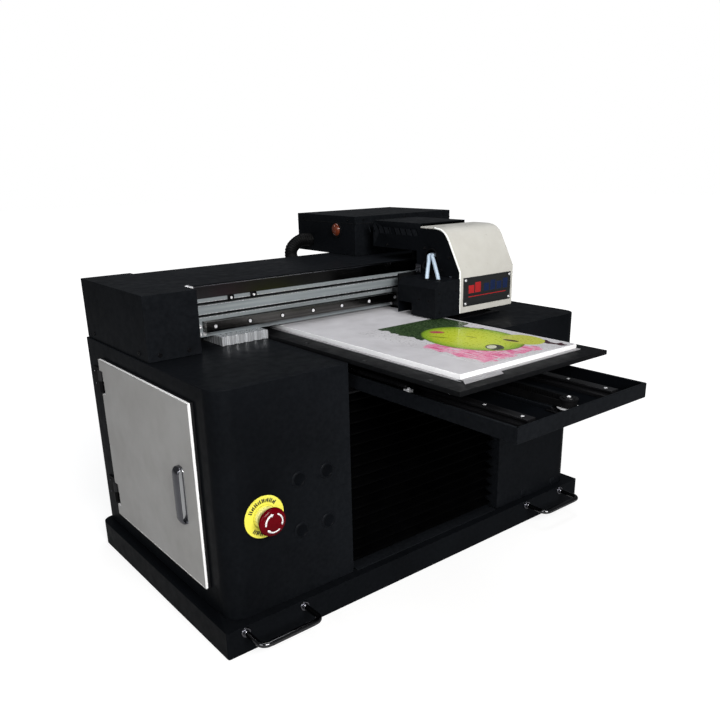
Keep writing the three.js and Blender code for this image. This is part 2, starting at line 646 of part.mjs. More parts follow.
function xBelt() {
  const [outer, inner] = beltBand(drivePulleyX, idlerPulleyX, pulleyZ, BELT_SPACING, BELT_THICKNESS);
  const band = cut(prism("y", outer, beltFace, beltFace + BELT_WIDTH),
    prism("y", inner, beltFace - 1, beltFace + BELT_WIDTH + 1));
  part("x_belt", band, "rubber");
}

function pulley(name, axis, centre, radius, width) {
  const bore = axis === "y"
    ? rod("y", [centre[0], centre[1] - 1, centre[2]], MOTOR_SHAFT + MOTOR_FIT, width + 2, 20)
    : rod("z", [centre[0], centre[1], centre[2] - 1], MOTOR_SHAFT + MOTOR_FIT, width + 2, 20);
  part(name, cut(rod(axis, centre, radius, width, 32), bore), "aluminium");
}

function motor(name, axis, face, shaftLength) {
  const half = MOTOR_SIDE / 2;
  const [x, y, z] = face;
  const along = axis === "y";
  const body = along
    ? block([x - half, y, z - half], [x + half, y + MOTOR_LENGTH, z + half])
    : block([x - half, y - half, z - MOTOR_LENGTH], [x + half, y + half, z]);
  const shaft = along
    ? rod("y", [x, y - shaftLength, z], MOTOR_SHAFT, shaftLength + 1, 16)
    : rod("z", [x, y, z - 1], MOTOR_SHAFT, shaftLength + 1, 16);
  const foot = block([x - half + 6, y + 6, deckZ + GAP], [x + half - 6, y + MOTOR_LENGTH - 6, z - half + 1]);
  part(name, along ? join(body, shaft, foot) : join(body, shaft), "blackMetal");
}

// Links carrying the carriage's leads: the lower run is fixed, the upper run ends at the carriage arm.
function cableChain() {
  const { low } = chain;
  const thickness = 12;
  const radius = (chain.height - thickness) / 2;
  const z = low + chain.height / 2;
  const [outer, inner] = beltBand(chain.bendX, chain.endX, z, 2 * radius + thickness, 0);
  const hole = beltBand(chain.bendX, chain.endX, z, 2 * radius - thickness, 0)[0];
  const loop = cut(prism("y", outer, chain.y, chain.y + chain.width),
    prism("y", hole, chain.y - 1, chain.y + chain.width + 1));
  const open = block([chain.fixedX, chain.y - 1, low - 1],
    [chain.endX + chain.height, chain.y + chain.width + 1, z + radius - thickness / 2]);
  const free = block([chain.endX, chain.y - 1, low - 1],
    [chain.endX + chain.height, chain.y + chain.width + 1, low + chain.height + 1]);
  part("cable_chain", cut(loop, open, free), "rubber");
}

// ---------------------------------------------------------------- rear box
const rearBox = {
  left: hoodRight + REAR_BOX_OVERHANG - REAR_BOX_WIDTH,
  right: hoodRight + REAR_BOX_OVERHANG,
  front: beamFace + REAR_BOX_SETBACK,
  rear: beamFace + REAR_BOX_SETBACK + REAR_BOX_DEPTH,
  low: hoodTop + GAP,
  top: hoodTop + GAP + REAR_BOX_HEIGHT,
};
const indicator = { y: rearBox.front + 57, z: rearBox.low + 46.5 };
const conduit = {
  startX: rearBox.left - 57,
  startZ: beamTop,
  endY: rearBox.rear - 42,
  endZ: rearBox.low + 22,
};
const armZ = beamTop + ARM_RISE;
const chain = {
  y: beamRear + 40,
  width: 30,
  low: beamZ + HOOD_FLOOR_DROP + THIN_SHEET + GAP,
  height: armZ - 2 * GAP - (beamZ + HOOD_FLOOR_DROP + THIN_SHEET),
  bendX: carriageX - 120,
  endX: carriageX + 50,
  fixedX: carriageX - 20,
};

function rearBoxCover() {
  const t = THIN_SHEET;
  const outer = block([rearBox.left, rearBox.front, rearBox.low], [rearBox.right, rearBox.rear, rearBox.top]);
  const inner = block([rearBox.left + t, rearBox.front + t, rearBox.low + t],
    [rearBox.right - t, rearBox.rear - t, rearBox.top - t]);
  const cableWay = block([rearBox.left + 60, rearBox.front + 30, rearBox.low - 1],
    [rearBox.right - 60, hoodRear - 20, rearBox.low + 2 * t]);
  const lensHole = rod("x", [rearBox.left - 1, indicator.y, indicator.z], LAMP_LENS_RADIUS - 4, 3 * t);
  const glandHole = rod("x", [rearBox.left - 1, conduit.endY, conduit.endZ], CONDUIT_RADIUS - 1, 3 * t);
  part("rear_box_cover", cut(outer, inner, cableWay, lensHole, glandHole), "blackPowder");
}

function indicatorLens() {
  const r = LAMP_LENS_RADIUS;
  const neck = r - 4 - GAP;
  const dome = [[0, 8], [r * 0.45, 7.4], [r * 0.8, 5.4], [r, 2.6], [r, 0], [neck, 0], [neck, -9], [0, -9]];
  const geometry = new THREE.LatheGeometry(dome.reverse().map(([x, y]) => new THREE.Vector2(x, y)), 20);
  geometry.rotateZ(Math.PI / 2);
  geometry.translate(rearBox.left - GAP, indicator.y, indicator.z);
  part("indicator_lens", solid(geometry), "amber");
}

function rearConduit() {
  const { startX, startZ, endY, endZ } = conduit;
  const curve = new THREE.CatmullRomCurve3([
    new THREE.Vector3(startX, hoodRear + GAP, startZ),
    new THREE.Vector3(startX, hoodRear + 14, startZ),
    new THREE.Vector3(startX + 1, endY - 14, startZ + 9),
    new THREE.Vector3(startX + 9, endY - 2, startZ + 28),
    new THREE.Vector3(startX + 32, endY, endZ),
    new THREE.Vector3(rearBox.left - GAP, endY, endZ),
  ], false, "centripetal");
  part("rear_conduit", bar(curve, CONDUIT_RADIUS, 18, 12), "rubber");
}

// ---------------------------------------------------------------- carriage
// The carriage's side outline in [y, z], a set distance inside the cover's outer face.
function carriageOutline(inset) {
  const y0 = coverFace + inset;
  const bend = coverZ + COVER_WALL_HEIGHT;
  const slopeY = coverFace + COVER_SLOPE_RUN + inset;
  const slopeZ = bend + COVER_SLOPE_RISE - inset * 0.4;
  const top = coverTop - inset;
  return { y0, bend, slopeY, slopeZ, top };
}

function coverCurve(shape, { y0, bend, slopeY, slopeZ, top }, reverse) {
  const roundEnd = slopeY + 36;
  if (!reverse) {
    shape.lineTo(y0, bend);
    shape.lineTo(slopeY, slopeZ);
    shape.bezierCurveTo(slopeY + 9, slopeZ + 15, slopeY + 16, top - 1, roundEnd, top);
  } else {
    shape.bezierCurveTo(slopeY + 16, top - 1, slopeY + 9, slopeZ + 15, slopeY, slopeZ);
    shape.lineTo(y0, bend);
  }
}

function frontCover() {
  const outer = carriageOutline(0);
  const inner = carriageOutline(COVER_THICKNESS);
  const rear = coverFace + COVER_TOP_LENGTH;
  const shape = new THREE.Shape();
  shape.moveTo(outer.y0, coverZ);
  coverCurve(shape, outer, false);
  shape.lineTo(rear, outer.top);
  shape.lineTo(rear, inner.top);
  shape.lineTo(inner.slopeY + 36, inner.top);
  coverCurve(shape, inner, true);
  shape.lineTo(inner.y0, coverZ);
  part("carriage_front_cover", prism("x", shape, carriageX, carriageRight), "coverPaint");
}

// One folded sheet: two cheeks, and a louvred box that reaches back over the beam.
function carriageHousing() {
  const t = THIN_SHEET;
  const inset = carriageOutline(COVER_THICKNESS + GAP);
  const panelRear = beamFace - PANEL_REAR;
  const boxTop = coverTop + HOUSING_TOP_RISE;
  const boxLow = boxTop - HOUSING_DEPTH_Z;
  const boxRear = beamFace + HOUSING_REAR;
  const boxRight = carriageX + HOUSING_WIDTH;
  const boxFront = coverFace + COVER_TOP_LENGTH + GAP;
  const cheek = new THREE.Shape();
  cheek.moveTo(inset.y0, coverZ + 1);
  coverCurve(cheek, inset, false);
  cheek.lineTo(boxFront, inset.top);
  cheek.lineTo(boxFront, boxTop);
  cheek.lineTo(boxRear, boxTop);
  cheek.lineTo(boxRear, boxLow);
  cheek.lineTo(panelRear, boxLow);
  cheek.lineTo(panelRear, coverZ + 1);
  const tubeHole = rod("x", [carriageX - 1, coverFace + TUBE_HOLE_BACK, coverZ + TUBE_HOLE_RISE],
    TUBE_HOLE_RADIUS, 3 * t, 28);
  const louvres = [];
  for (let i = 0; i < LOUVRES; i += 1) {
    const y = boxRear - 14 - i * LOUVRE_PITCH;
    const low = boxTop - 22;
    const high = boxTop - 11;
    const lean = 6;
    louvres.push(prism("x", [[y - lean, low], [y - lean + LOUVRE_WIDTH, low], [y + LOUVRE_WIDTH, high],
      [y, high]], carriageX - 1, carriageX + 2 * t));
  }
  const left = cut(prism("x", cheek, carriageX + GAP, carriageX + t), tubeHole, ...louvres);
  const farCheek = new THREE.Shape();
  farCheek.moveTo(inset.y0, coverZ + 1);
  coverCurve(farCheek, inset, false);
  farCheek.lineTo(boxFront + 10, inset.top);
  farCheek.lineTo(panelRear, coverZ + 1);
  const right = prism("x", farCheek, carriageRight - t, carriageRight - GAP);
  const roof = block([carriageX + GAP, boxFront, boxTop - t], [boxRight, boxRear, boxTop]);
  const back = block([carriageX + GAP, boxRear - t, boxLow], [boxRight, boxRear, boxTop]);
  const boxCheek = block([boxRight - t, boxFront, boxLow], [boxRight, boxRear, boxTop]);
  const floor = block([carriageX + GAP, beamFace - 6, boxLow], [boxRight, boxRear, boxLow + t]);
  const brace = block([carriageX + GAP, boxFront, inset.top - 8], [carriageRight - GAP, boxFront + t,
    inset.top]);
  const armX = carriageX + 30;
  const armWidth = 60;
  const armFront = beamFace + 4;
  const arm = block([armX, armFront, armZ], [armX + armWidth, armFront + 3, boxLow + 1]);
  const reach = block([armX, armFront, armZ], [armX + armWidth, chain.y + chain.width, armZ + 3]);
  part("carriage_housing", join(left, right, roof, back, boxCheek, floor, brace, arm, reach), "blackPowder");
}

const railMiddle = railZ + RAIL_WIDTH / 2;
const blockFace = beamFace - BLOCK_HEIGHT;

function bearingBlock() {
  const x = carriageX - BLOCK_LENGTH / 2;
  const body = block([x, blockFace, railMiddle - BLOCK_WIDTH / 2],
    [x + 2 * BLOCK_LENGTH, beamFace - 3.5, railMiddle + BLOCK_WIDTH / 2]);
  const fit = 0.4;
  const groove = block([x - 1, beamFace - GAP - RAIL_THICKNESS - fit, railZ - fit],
    [x + 2 * BLOCK_LENGTH + 1, beamFace, railZ + RAIL_WIDTH + fit]);
  part("x_bearing_block", cut(body, groove), "steel");
}

function backPlate() {
  const t = 6;
  const rear = blockFace - GAP;
  const plate = block([carriageX - 34, rear - t, coverZ + 2], [carriageX - GAP, rear, coverZ + 60]);
  const main = block([carriageX - GAP - 1, rear - t, coverZ + 2],
    [carriageRight - 2 * THIN_SHEET, rear, coverZ + 60]);
  const slot = block([carriageX - 1, rear - t - 1, coverZ - 1],
    [carriageX + THIN_SHEET + GAP, beamFace - PANEL_REAR + GAP, coverZ + 70]);
  const lugX = carriageX + 95;
  const lugHalf = GROOVE_HEIGHT / 2 - 2 * GAP;
  const lug = block([lugX, rear - 1, upperBeltZ - lugHalf], [lugX + 20, beltFace - GAP, upperBeltZ + lugHalf]);
  part("carriage_back_plate", join(cut(join(plate, main), slot), lug), "aluminium");
}

function nameplate() {
  const x = carriageX + (CARRIAGE_WIDTH - NAMEPLATE_WIDTH) / 2;
  part("carriage_nameplate", block([x, coverFace - GAP - 1.5, coverZ + 11],
    [x + NAMEPLATE_WIDTH, coverFace - GAP, coverZ + 11 + NAMEPLATE_HEIGHT]), "plate");
}

const lamp = {
  left: carriageX - GAP - LAMP_WIDTH,
  right: carriageX - GAP,
  front: coverFace - LAMP_REACH,
  rear: coverFace - LAMP_REACH + LAMP_DEPTH,
  low: coverZ + LAMP_LIFT,
  top: coverZ + LAMP_LIFT + LAMP_HEIGHT,
};

function lampOutline(inset) {
  return [
    [lamp.left + inset, lamp.low - (inset ? 1 : 0)],
    [lamp.right - inset, lamp.low - (inset ? 1 : 0)],
    [lamp.right - inset, lamp.top - inset],
    [lamp.left + LAMP_CHAMFER_RUN + inset * 0.3, lamp.top - inset],
    [lamp.left + inset, lamp.top - LAMP_CHAMFER_RISE - inset * 0.3],
  ];
}

const tubeEnds = [
  { x: lamp.left + 6 + LAMP_CHAMFER_RUN, y: lamp.front + 38 },
  { x: lamp.left + 12 + LAMP_CHAMFER_RUN, y: lamp.front + 15 },
];

function lampHousing() {
  const t = THIN_SHEET;
  const shell = cut(prism("y", lampOutline(0), lamp.front, lamp.rear),
    prism("y", lampOutline(t), lamp.front + t, lamp.rear - t));
  const notch = block([lamp.left - 1, lamp.rear - t - LAMP_NOTCH_LENGTH, lamp.low - 1],
    [lamp.left + 2 * t, lamp.rear - t, lamp.low + LAMP_NOTCH_HEIGHT]);
  const holes = tubeEnds.map(({ x, y }) =>
    rod("z", [x, y, lamp.top - 2 * t], LAMP_TUBE_RADIUS + GAP, 3 * t, 16));
  part("uv_lamp_housing", cut(shell, notch, ...holes), "blackPowder");
}

function lampModule() {
  const side = 10;
  const heatSink = block([lamp.left + side, lamp.front + 6, lamp.low + 6],
    [lamp.right - side, lamp.rear - 40, lamp.top - 16]);
  const window = block([lamp.left + side + 6, lamp.front + 10, lamp.low + 2],
    [lamp.right - side - 6, lamp.rear - 44, lamp.low + 7]);
  const hanger = block([lamp.right - 14, lamp.front + 20, lamp.low + 20],
    [lamp.right - THIN_SHEET - GAP, lamp.front + 34, lamp.low + 34]);
  const fins = [];
  for (let i = 0; i < 6; i += 1) {
    const x = lamp.left + side + 5 + i * 8;
    fins.push(block([x, lamp.front + 5, lamp.top - 28], [x + 4, lamp.rear - 39, lamp.top - 15]));
  }
  part("uv_led_module", join(cut(heatSink, ...fins), window, hanger), "aluminium");
}

// The two leads from the carriage's cheek to the lamp.
function lampTube(name, end, side) {
  const holeY = coverFace + TUBE_HOLE_BACK;
  const holeZ = coverZ + TUBE_HOLE_RISE;
  const curve = new THREE.CatmullRomCurve3([
    new THREE.Vector3(carriageX + 12, holeY + side, holeZ + 4),
    new THREE.Vector3(carriageX - 2, holeY + side, holeZ + 5),
    new THREE.Vector3(carriageX - 11, holeY - 4 + 1.1 * side, holeZ + 1),
    new THREE.Vector3(end.x + 4, end.y + 3, lamp.top + 15),
    new THREE.Vector3(end.x, end.y, lamp.top + 8),
    new THREE.Vector3(end.x, end.y, lamp.top + 3),
    new THREE.Vector3(end.x, end.y, lamp.top - 8),
  ], false, "centripetal");
  part(name, bar(curve, LAMP_TUBE_RADIUS, 20, 8), "tube");
}

function printHead() {
  const x = carriageX + 31;
  const y = coverFace + 27;
  const low = coverZ - 0.5;
  const head = block([x, y, low], [x + HEAD_WIDTH, y + HEAD_DEPTH, low + HEAD_HEIGHT]);
  const dampers = block([x + 6, y + 8, low + HEAD_HEIGHT - 1],
    [x + HEAD_WIDTH - 6, y + HEAD_DEPTH - 14, low + HEAD_HEIGHT + 22]);
  const mount = block([x - 12, blockFace - 6 - GAP - 30, low + 14],
    [x + HEAD_WIDTH + 8, blockFace - 6 - 2 * GAP, low + 20]);
  part("print_head", join(head, dampers, mount), "rubber");
}

// ---------------------------------------------------------------- lifting table
function crossbeam() {
  const beamBody = block([bayLeft - CROSSBEAM_REACH, liftY - CROSSBEAM_DEPTH / 2, crossbeamZ],
    [bayRight + CROSSBEAM_REACH, liftY + CROSSBEAM_DEPTH / 2, crossbeamTop]);
  const bores = [screwLeftX, screwRightX].flatMap((x) => [screwY, shaftY].map((y) =>
    rod("z", [x, y, crossbeamZ - 1], SCREW_RADIUS + GAP, CROSSBEAM_THICKNESS + 2, 32)));
  const pockets = [0, 1, 2].map((i) => block([bayLeft + 24 + i * 95, liftY - 40, crossbeamZ - 1],
    [bayLeft + 24 + i * 95 + 80, liftY + 40, crossbeamTop - 8]));
  part("lift_crossbeam", cut(beamBody, ...bores, ...pockets), "aluminium");
}

function guideAndScrew(side, x) {
  const top = crossbeamTop + 6;
  part(`lift_screw_${side}`, rod("z", [x, screwY, floorZ], SCREW_RADIUS, top - floorZ, 24), "steel");
  part(`lift_guide_shaft_${side}`, rod("z", [x, shaftY, floorZ], SCREW_RADIUS, top - floorZ, 24), "steel");
}

function tray() {
  const right = trayLeft + TRAY_WIDTH;
  const rear = trayFront + TRAY_LENGTH;
  const outer = block([trayLeft, trayFront, trayZ], [right, rear, trayTop]);
  const inner = block([trayLeft + SHEET, trayFront + SHEET, trayFloor], [right - SHEET, rear - SHEET,
    trayTop + 1]);
  const spine = block([beltX - 12, idlerY + 18, trayFloor - 1],
    [beltX - 12 + SPINE_WIDTH, yDriveY - 40, trayFloor + SPINE_HEIGHT]);
  const stud = rod("z", [beltX, idlerY, trayFloor - 1], MOTOR_SHAFT, trayTop - trayFloor + 4, 16);
  const shaftHole = rod("z", [beltX, yDriveY, trayZ - 1], MOTOR_SHAFT + 3, 2 * SHEET + 2, 20);
  part("table_tray", cut(join(cut(outer, inner), spine, stud), shaftHole), "blackPowder");
}

const yRailMiddles = { left: trayMiddle - Y_RAIL_SPACING / 2, right: trayMiddle + Y_RAIL_SPACING / 2 };
const blockCentreY = platformFront + PLATFORM_LENGTH / 2;

function yRail(side) {
  const start = trayFront + Y_RAIL_START;
  const section = railSection(yRailMiddles[side], trayFloor + GAP, RAIL_WIDTH, Y_RAIL_HEIGHT, 1);
  part(`y_rail_${side}`, prism("y", section, start, start + Y_RAIL_LENGTH), "steel");
}

// The two bearings on each rail, joined by the rail cap that carries the platform.
function yBearing(side) {
  const x = yRailMiddles[side];
  const low = trayFloor + 5;
  const railTop = trayFloor + GAP + Y_RAIL_HEIGHT;
  const reach = Y_BLOCK_SPACING / 2 + Y_BLOCK_LENGTH / 2;
  const cap = block([x - BLOCK_WIDTH / 2, blockCentreY - reach, railTop + 3],
    [x + BLOCK_WIDTH / 2, blockCentreY + reach, platformZ - GAP]);
  const bearings = [-1, 1].map((end) => {
    const middle = blockCentreY + (end * Y_BLOCK_SPACING) / 2;
    return block([x - BLOCK_WIDTH / 2, middle - Y_BLOCK_LENGTH / 2, low],
      [x + BLOCK_WIDTH / 2, middle + Y_BLOCK_LENGTH / 2, railTop + 4]);
  });
  const fit = 0.4;
  const groove = block([x - RAIL_WIDTH / 2 - fit, blockCentreY - reach - 1, low - 1],
    [x + RAIL_WIDTH / 2 + fit, blockCentreY + reach + 1, railTop + fit]);
  part(`y_bearing_${side}`, cut(join(cap, ...bearings), groove), "steel");
}

const yBeltZ = trayFloor + SPINE_HEIGHT + 2;

function yBelt() {
  const [outer, inner] = beltBand(idlerY, yDriveY, 0, 2 * IDLER_RADIUS + 2 * GAP + BELT_THICKNESS,
    BELT_THICKNESS);
  const geometry = cut(prism("z", outer, yBeltZ, yBeltZ + BELT_WIDTH),
    prism("z", inner, yBeltZ - 1, yBeltZ + BELT_WIDTH + 1));
  part("y_belt", geometry.rotate([0, 0, 90]).translate([beltX, 0, 0]), "rubber");
}

function platform() {
  const plate = block([platformLeft, platformFront, platformZ],
    [platformRight, platformFront + PLATFORM_LENGTH, platformTop]);
  const beltRun = beltX + IDLER_RADIUS + GAP + BELT_THICKNESS;
  const lug = block([beltRun + GAP, blockCentreY - 15, yBeltZ], [beltRun + 12, blockCentreY + 15,
    platformZ + 1]);
  part("platform_plate", join(plate, lug), "blackMetal");
}

function board() {
  const x = platformLeft + BOARD_MARGIN_LEFT;
  const y = platformFront + BOARD_MARGIN_FRONT;
  part("print_board", block([x, y, platformTop + GAP], [x + BOARD_WIDTH, y + BOARD_LENGTH, boardTop]),
    "board");
}

// Accordion curtain between the cabinets, with a lip on the plinth and a strip under the table.
function bellows() {
  const left = bayLeft + BELLOWS_GAP;
  const right = bayRight - BELLOWS_GAP;
  const front = cabinetFront + BELLOWS_SETBACK;
  const low = floorZ + SHEET;
  const high = trayZ - 4;
  const pitch = (high - low) / PLEATS;
  const face = [];
  for (let i = 0; i <= 2 * PLEATS; i += 1) {
    face.push([front + (i % 2 === 0 ? PLEAT_DEPTH : 0), low - 1 + ((high - low + 2) * i) / (2 * PLEATS)]);
  }
  const slant = PLEAT_WALL * Math.hypot(1, (2 * PLEAT_DEPTH) / pitch);
  const back = face.map(([y, z]) => [y + slant, z]).reverse();
  const lip = block([left, cabinetFront - 2, floorZ], [right, front + PLEAT_DEPTH + slant, low]);
  const strip = block([left, front, high], [right, front + PLEAT_DEPTH + slant, high + 2.5]);
  part("front_bellows", join(prism("x", [...face, ...back], left, right), lip, strip), "rubber");
}

// ---------------------------------------------------------------- electronics
function powerSupply() {
  const x = leftOuter + 30;
  const y = cabinetFront + 210;
  const body = block([x, y, floorZ], [x + 110, y + 160, floorZ + 50]);
  const slots = [];
  for (let i = 0; i < 6; i += 1) {
    slots.push(block([x + 10, y + 20 + i * 20, floorZ + 44], [x + 100, y + 26 + i * 20, floorZ + 51]));
  }
  part("power_supply", cut(body, ...slots), "aluminium");
}

function controlBoard() {
  const x = leftOuter + 24;
  const y = cabinetRear - 26;
  const z = PLINTH_HEIGHT + 90;
  const sheet = block([x, y, z], [x + 110, y + 2, z + 180]);
  const chips = [];
  for (let i = 0; i < 4; i += 1) {
    const chipZ = z + 18 + i * 40;
    chips.push(block([x + 14, y - 9, chipZ], [x + 44 + (i % 2) * 20, y + 1, chipZ + 22]));
  }
  const posts = [10, 100].flatMap((across) => [10, 170].map((up) =>
    rod("y", [x + across, y + 1, z + up], 4, cabinetRear - SHEET - GAP - y - 1, 12)));
  part("control_board", join(sheet, ...chips, ...posts), "circuit");
}

// ---------------------------------------------------------------- emergency stop and lifting handles
function emergencyStop() {
  const face = cabinetFront - GAP;
  const labelFace = face - 1;
  const label = cut(rod("y", [estopX, labelFace, estopZ], ESTOP_LABEL_RADIUS, 1, 48),
    rod("y", [estopX, labelFace - 1, estopZ], ESTOP_HOLE_RADIUS + GAP, 3, 32));
  part("estop_label", label, "yellow");
  const collarFace = labelFace - GAP - 6;
  const collar = join(rod("y", [estopX, collarFace, estopZ], 15, 6, 32),
    rod("y", [estopX, collarFace, estopZ], ESTOP_HOLE_RADIUS, 34, 32));
  const stemRadius = 5;
  const stemBore = rod("y", [estopX, collarFace - 1, estopZ], stemRadius + 0.5, 40, 24);
  part("estop_collar", cut(collar, stemBore), "blackMetal");
  const headRear = collarFace - ESTOP_TRAVEL - 2;
  const r = ESTOP_HEAD_RADIUS;
  part("estop_stem", rod("y", [estopX, headRear + GAP, estopZ], stemRadius, 40, 24), "blackMetal");
  const profile = [[0, 0], [r * 0.55, 0], [r * 0.6, -3], [r * 0.92, -4], [r, -7], [r, -11], [r * 0.94, -14],
    [r * 0.8, -15.6], [r * 0.5, -16.4], [0, -16.4]];
  const geometry = new THREE.LatheGeometry(profile.reverse().map(([x, y]) => new THREE.Vector2(x, y)), 24);
  geometry.translate(estopX, headRear, estopZ);
  part("estop_head", solid(geometry), "red");
}

function liftHandle(name, x) {
  const face = plinthFront - GAP;
  const y = plinthFront - LIFT_HANDLE_REACH;
  const b = LIFT_HANDLE_BEND;
  const z = LIFT_HANDLE_RISE;
  const right = x + LIFT_HANDLE_SPAN;
  const at = (px, py) => new THREE.Vector3(px, py, z);
  const path = new THREE.CurvePath();
  path.add(new THREE.LineCurve3(at(x, face), at(x, y + b)));
  path.add(new THREE.QuadraticBezierCurve3(at(x, y + b), at(x, y), at(x + b, y)));
  path.add(new THREE.LineCurve3(at(x + b, y), at(right - b, y)));
  path.add(new THREE.QuadraticBezierCurve3(at(right - b, y), at(right, y), at(right, y + b)));
  path.add(new THREE.LineCurve3(at(right, y + b), at(right, face)));
  const flanges = [x, right].map((px) => rod("y", [px, face - 3, z], 7.5, 3, 20));
  part(name, join(bar(path, LIFT_HANDLE_RADIUS, 34, 10), ...flanges), "chrome");
}

// ---------------------------------------------------------------- assembly
plinth();
leftCabinet();
rightCabinet();
bayRearPanel();
powerInlet();
cappingStation();
hinge(0);
hinge(1);
door();
doorHandle();
beam();
riser("beam_riser_left", bayLeft - RISER_INSET_LEFT - RISER_WIDTH_LEFT, RISER_WIDTH_LEFT);
riser("beam_riser_right", bayRight + RISER_INSET_RIGHT, RISER_WIDTH_RIGHT);
hood();
endCover();
linearRail();
encoderStrip();
xBelt();
pulley("x_drive_pulley", "y", [drivePulleyX, beltFace, pulleyZ], pulleyRadius, BELT_WIDTH);
pulley("x_idler_pulley", "y", [idlerPulleyX, beltFace, pulleyZ], pulleyRadius, BELT_WIDTH);
motor("x_motor", "y", [drivePulleyX, beltFace + BELT_WIDTH + 6, pulleyZ], BELT_WIDTH + 8);
cableChain();
rearBoxCover();
indicatorLens();
rearConduit();
frontCover();
carriageHousing();
bearingBlock();
backPlate();
nameplate();
lampHousing();
lampModule();
lampTube("lamp_tube_rear", tubeEnds[0], 6);
lampTube("lamp_tube_front", tubeEnds[1], -5);
printHead();
crossbeam();
guideAndScrew("left", screwLeftX);
guideAndScrew("right", screwRightX);
tray();
yRail("left");
yRail("right");
yBearing("left");
yBearing("right");
yBelt();
pulley("y_idler_pulley", "z", [beltX, idlerY, yBeltZ], IDLER_RADIUS, BELT_WIDTH);
pulley("y_drive_pulley", "z", [beltX, yDriveY, yBeltZ], IDLER_RADIUS, BELT_WIDTH);
motor("y_motor", "z", [beltX, yDriveY, trayZ - GAP], yBeltZ + BELT_WIDTH - trayZ + 1);
platform();
board();
bellows();
powerSupply();
controlBoard();
emergencyStop();
liftHandle("lift_handle_left", plinthLeft + LIFT_HANDLE_INSET_LEFT);
liftHandle("lift_handle_right", plinthRight - LIFT_HANDLE_INSET_RIGHT - LIFT_HANDLE_SPAN);

export default printer;
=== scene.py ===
"""Flatbed UV printer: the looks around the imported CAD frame.

Shapes are worked out in millimetres, and piece() turns them into objects in metres."""
import json
import math

import bmesh
import bpy
from mathutils import Matrix, Vector

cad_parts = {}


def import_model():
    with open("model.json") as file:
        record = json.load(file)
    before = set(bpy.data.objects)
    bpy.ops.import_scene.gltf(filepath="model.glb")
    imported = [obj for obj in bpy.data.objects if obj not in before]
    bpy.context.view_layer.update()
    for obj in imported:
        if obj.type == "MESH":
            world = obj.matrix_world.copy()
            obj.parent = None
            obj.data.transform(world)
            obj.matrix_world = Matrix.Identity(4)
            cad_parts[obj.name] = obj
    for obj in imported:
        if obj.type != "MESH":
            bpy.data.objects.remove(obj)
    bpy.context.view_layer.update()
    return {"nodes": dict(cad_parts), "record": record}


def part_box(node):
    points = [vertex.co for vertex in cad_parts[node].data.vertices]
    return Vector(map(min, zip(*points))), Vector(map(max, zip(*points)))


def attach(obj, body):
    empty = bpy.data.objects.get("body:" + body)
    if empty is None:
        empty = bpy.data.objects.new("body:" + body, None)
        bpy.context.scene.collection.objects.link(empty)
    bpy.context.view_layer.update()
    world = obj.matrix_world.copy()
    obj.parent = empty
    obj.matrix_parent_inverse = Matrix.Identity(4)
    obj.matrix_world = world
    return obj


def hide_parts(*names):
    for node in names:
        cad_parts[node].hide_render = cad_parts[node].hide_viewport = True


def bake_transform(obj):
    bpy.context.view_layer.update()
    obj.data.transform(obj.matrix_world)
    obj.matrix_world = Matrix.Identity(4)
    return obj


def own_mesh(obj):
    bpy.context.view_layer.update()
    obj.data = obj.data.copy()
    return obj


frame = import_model()
scene = bpy.context.scene
NODES = frame["nodes"]
MM = 0.001


def box(node):
    """Lowest and highest corner of a CAD node, in millimetres."""
    low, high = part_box(node)
    return low / MM, high / MM


# ---------------------------------------------------------------- camera
CAMERA_PLACE = (-754.8, -989.8, 628.7)
CAMERA_YAW, CAMERA_PITCH, CAMERA_ROLL = (math.radians(a) for a in (-39.016, -18.726, -1.087))
CAMERA_LENS = 36.77
CAMERA_SHIFT = (-0.01107, 0.07313)


def make_camera():
    data = bpy.data.cameras.new("camera")
    data.lens = CAMERA_LENS
    data.sensor_width = 36
    data.shift_x, data.shift_y = CAMERA_SHIFT
    data.clip_start = 0.05
    camera = bpy.data.objects.new("camera", data)
    scene.collection.objects.link(camera)
    forward = Vector((
        -math.sin(CAMERA_YAW) * math.cos(CAMERA_PITCH),
        math.cos(CAMERA_YAW) * math.cos(CAMERA_PITCH),
        math.sin(CAMERA_PITCH),
    ))
    level = Vector((math.cos(CAMERA_YAW), math.sin(CAMERA_YAW), 0))
    above = level.cross(forward)
    right = level * math.cos(CAMERA_ROLL) + above * math.sin(CAMERA_ROLL)
    up = above * math.cos(CAMERA_ROLL) - level * math.sin(CAMERA_ROLL)
    turn = Matrix((right, up, -forward)).transposed()
    camera.matrix_world = Matrix.Translation(Vector(CAMERA_PLACE) * MM) @ turn.to_4x4()
    scene.camera = camera


make_camera()


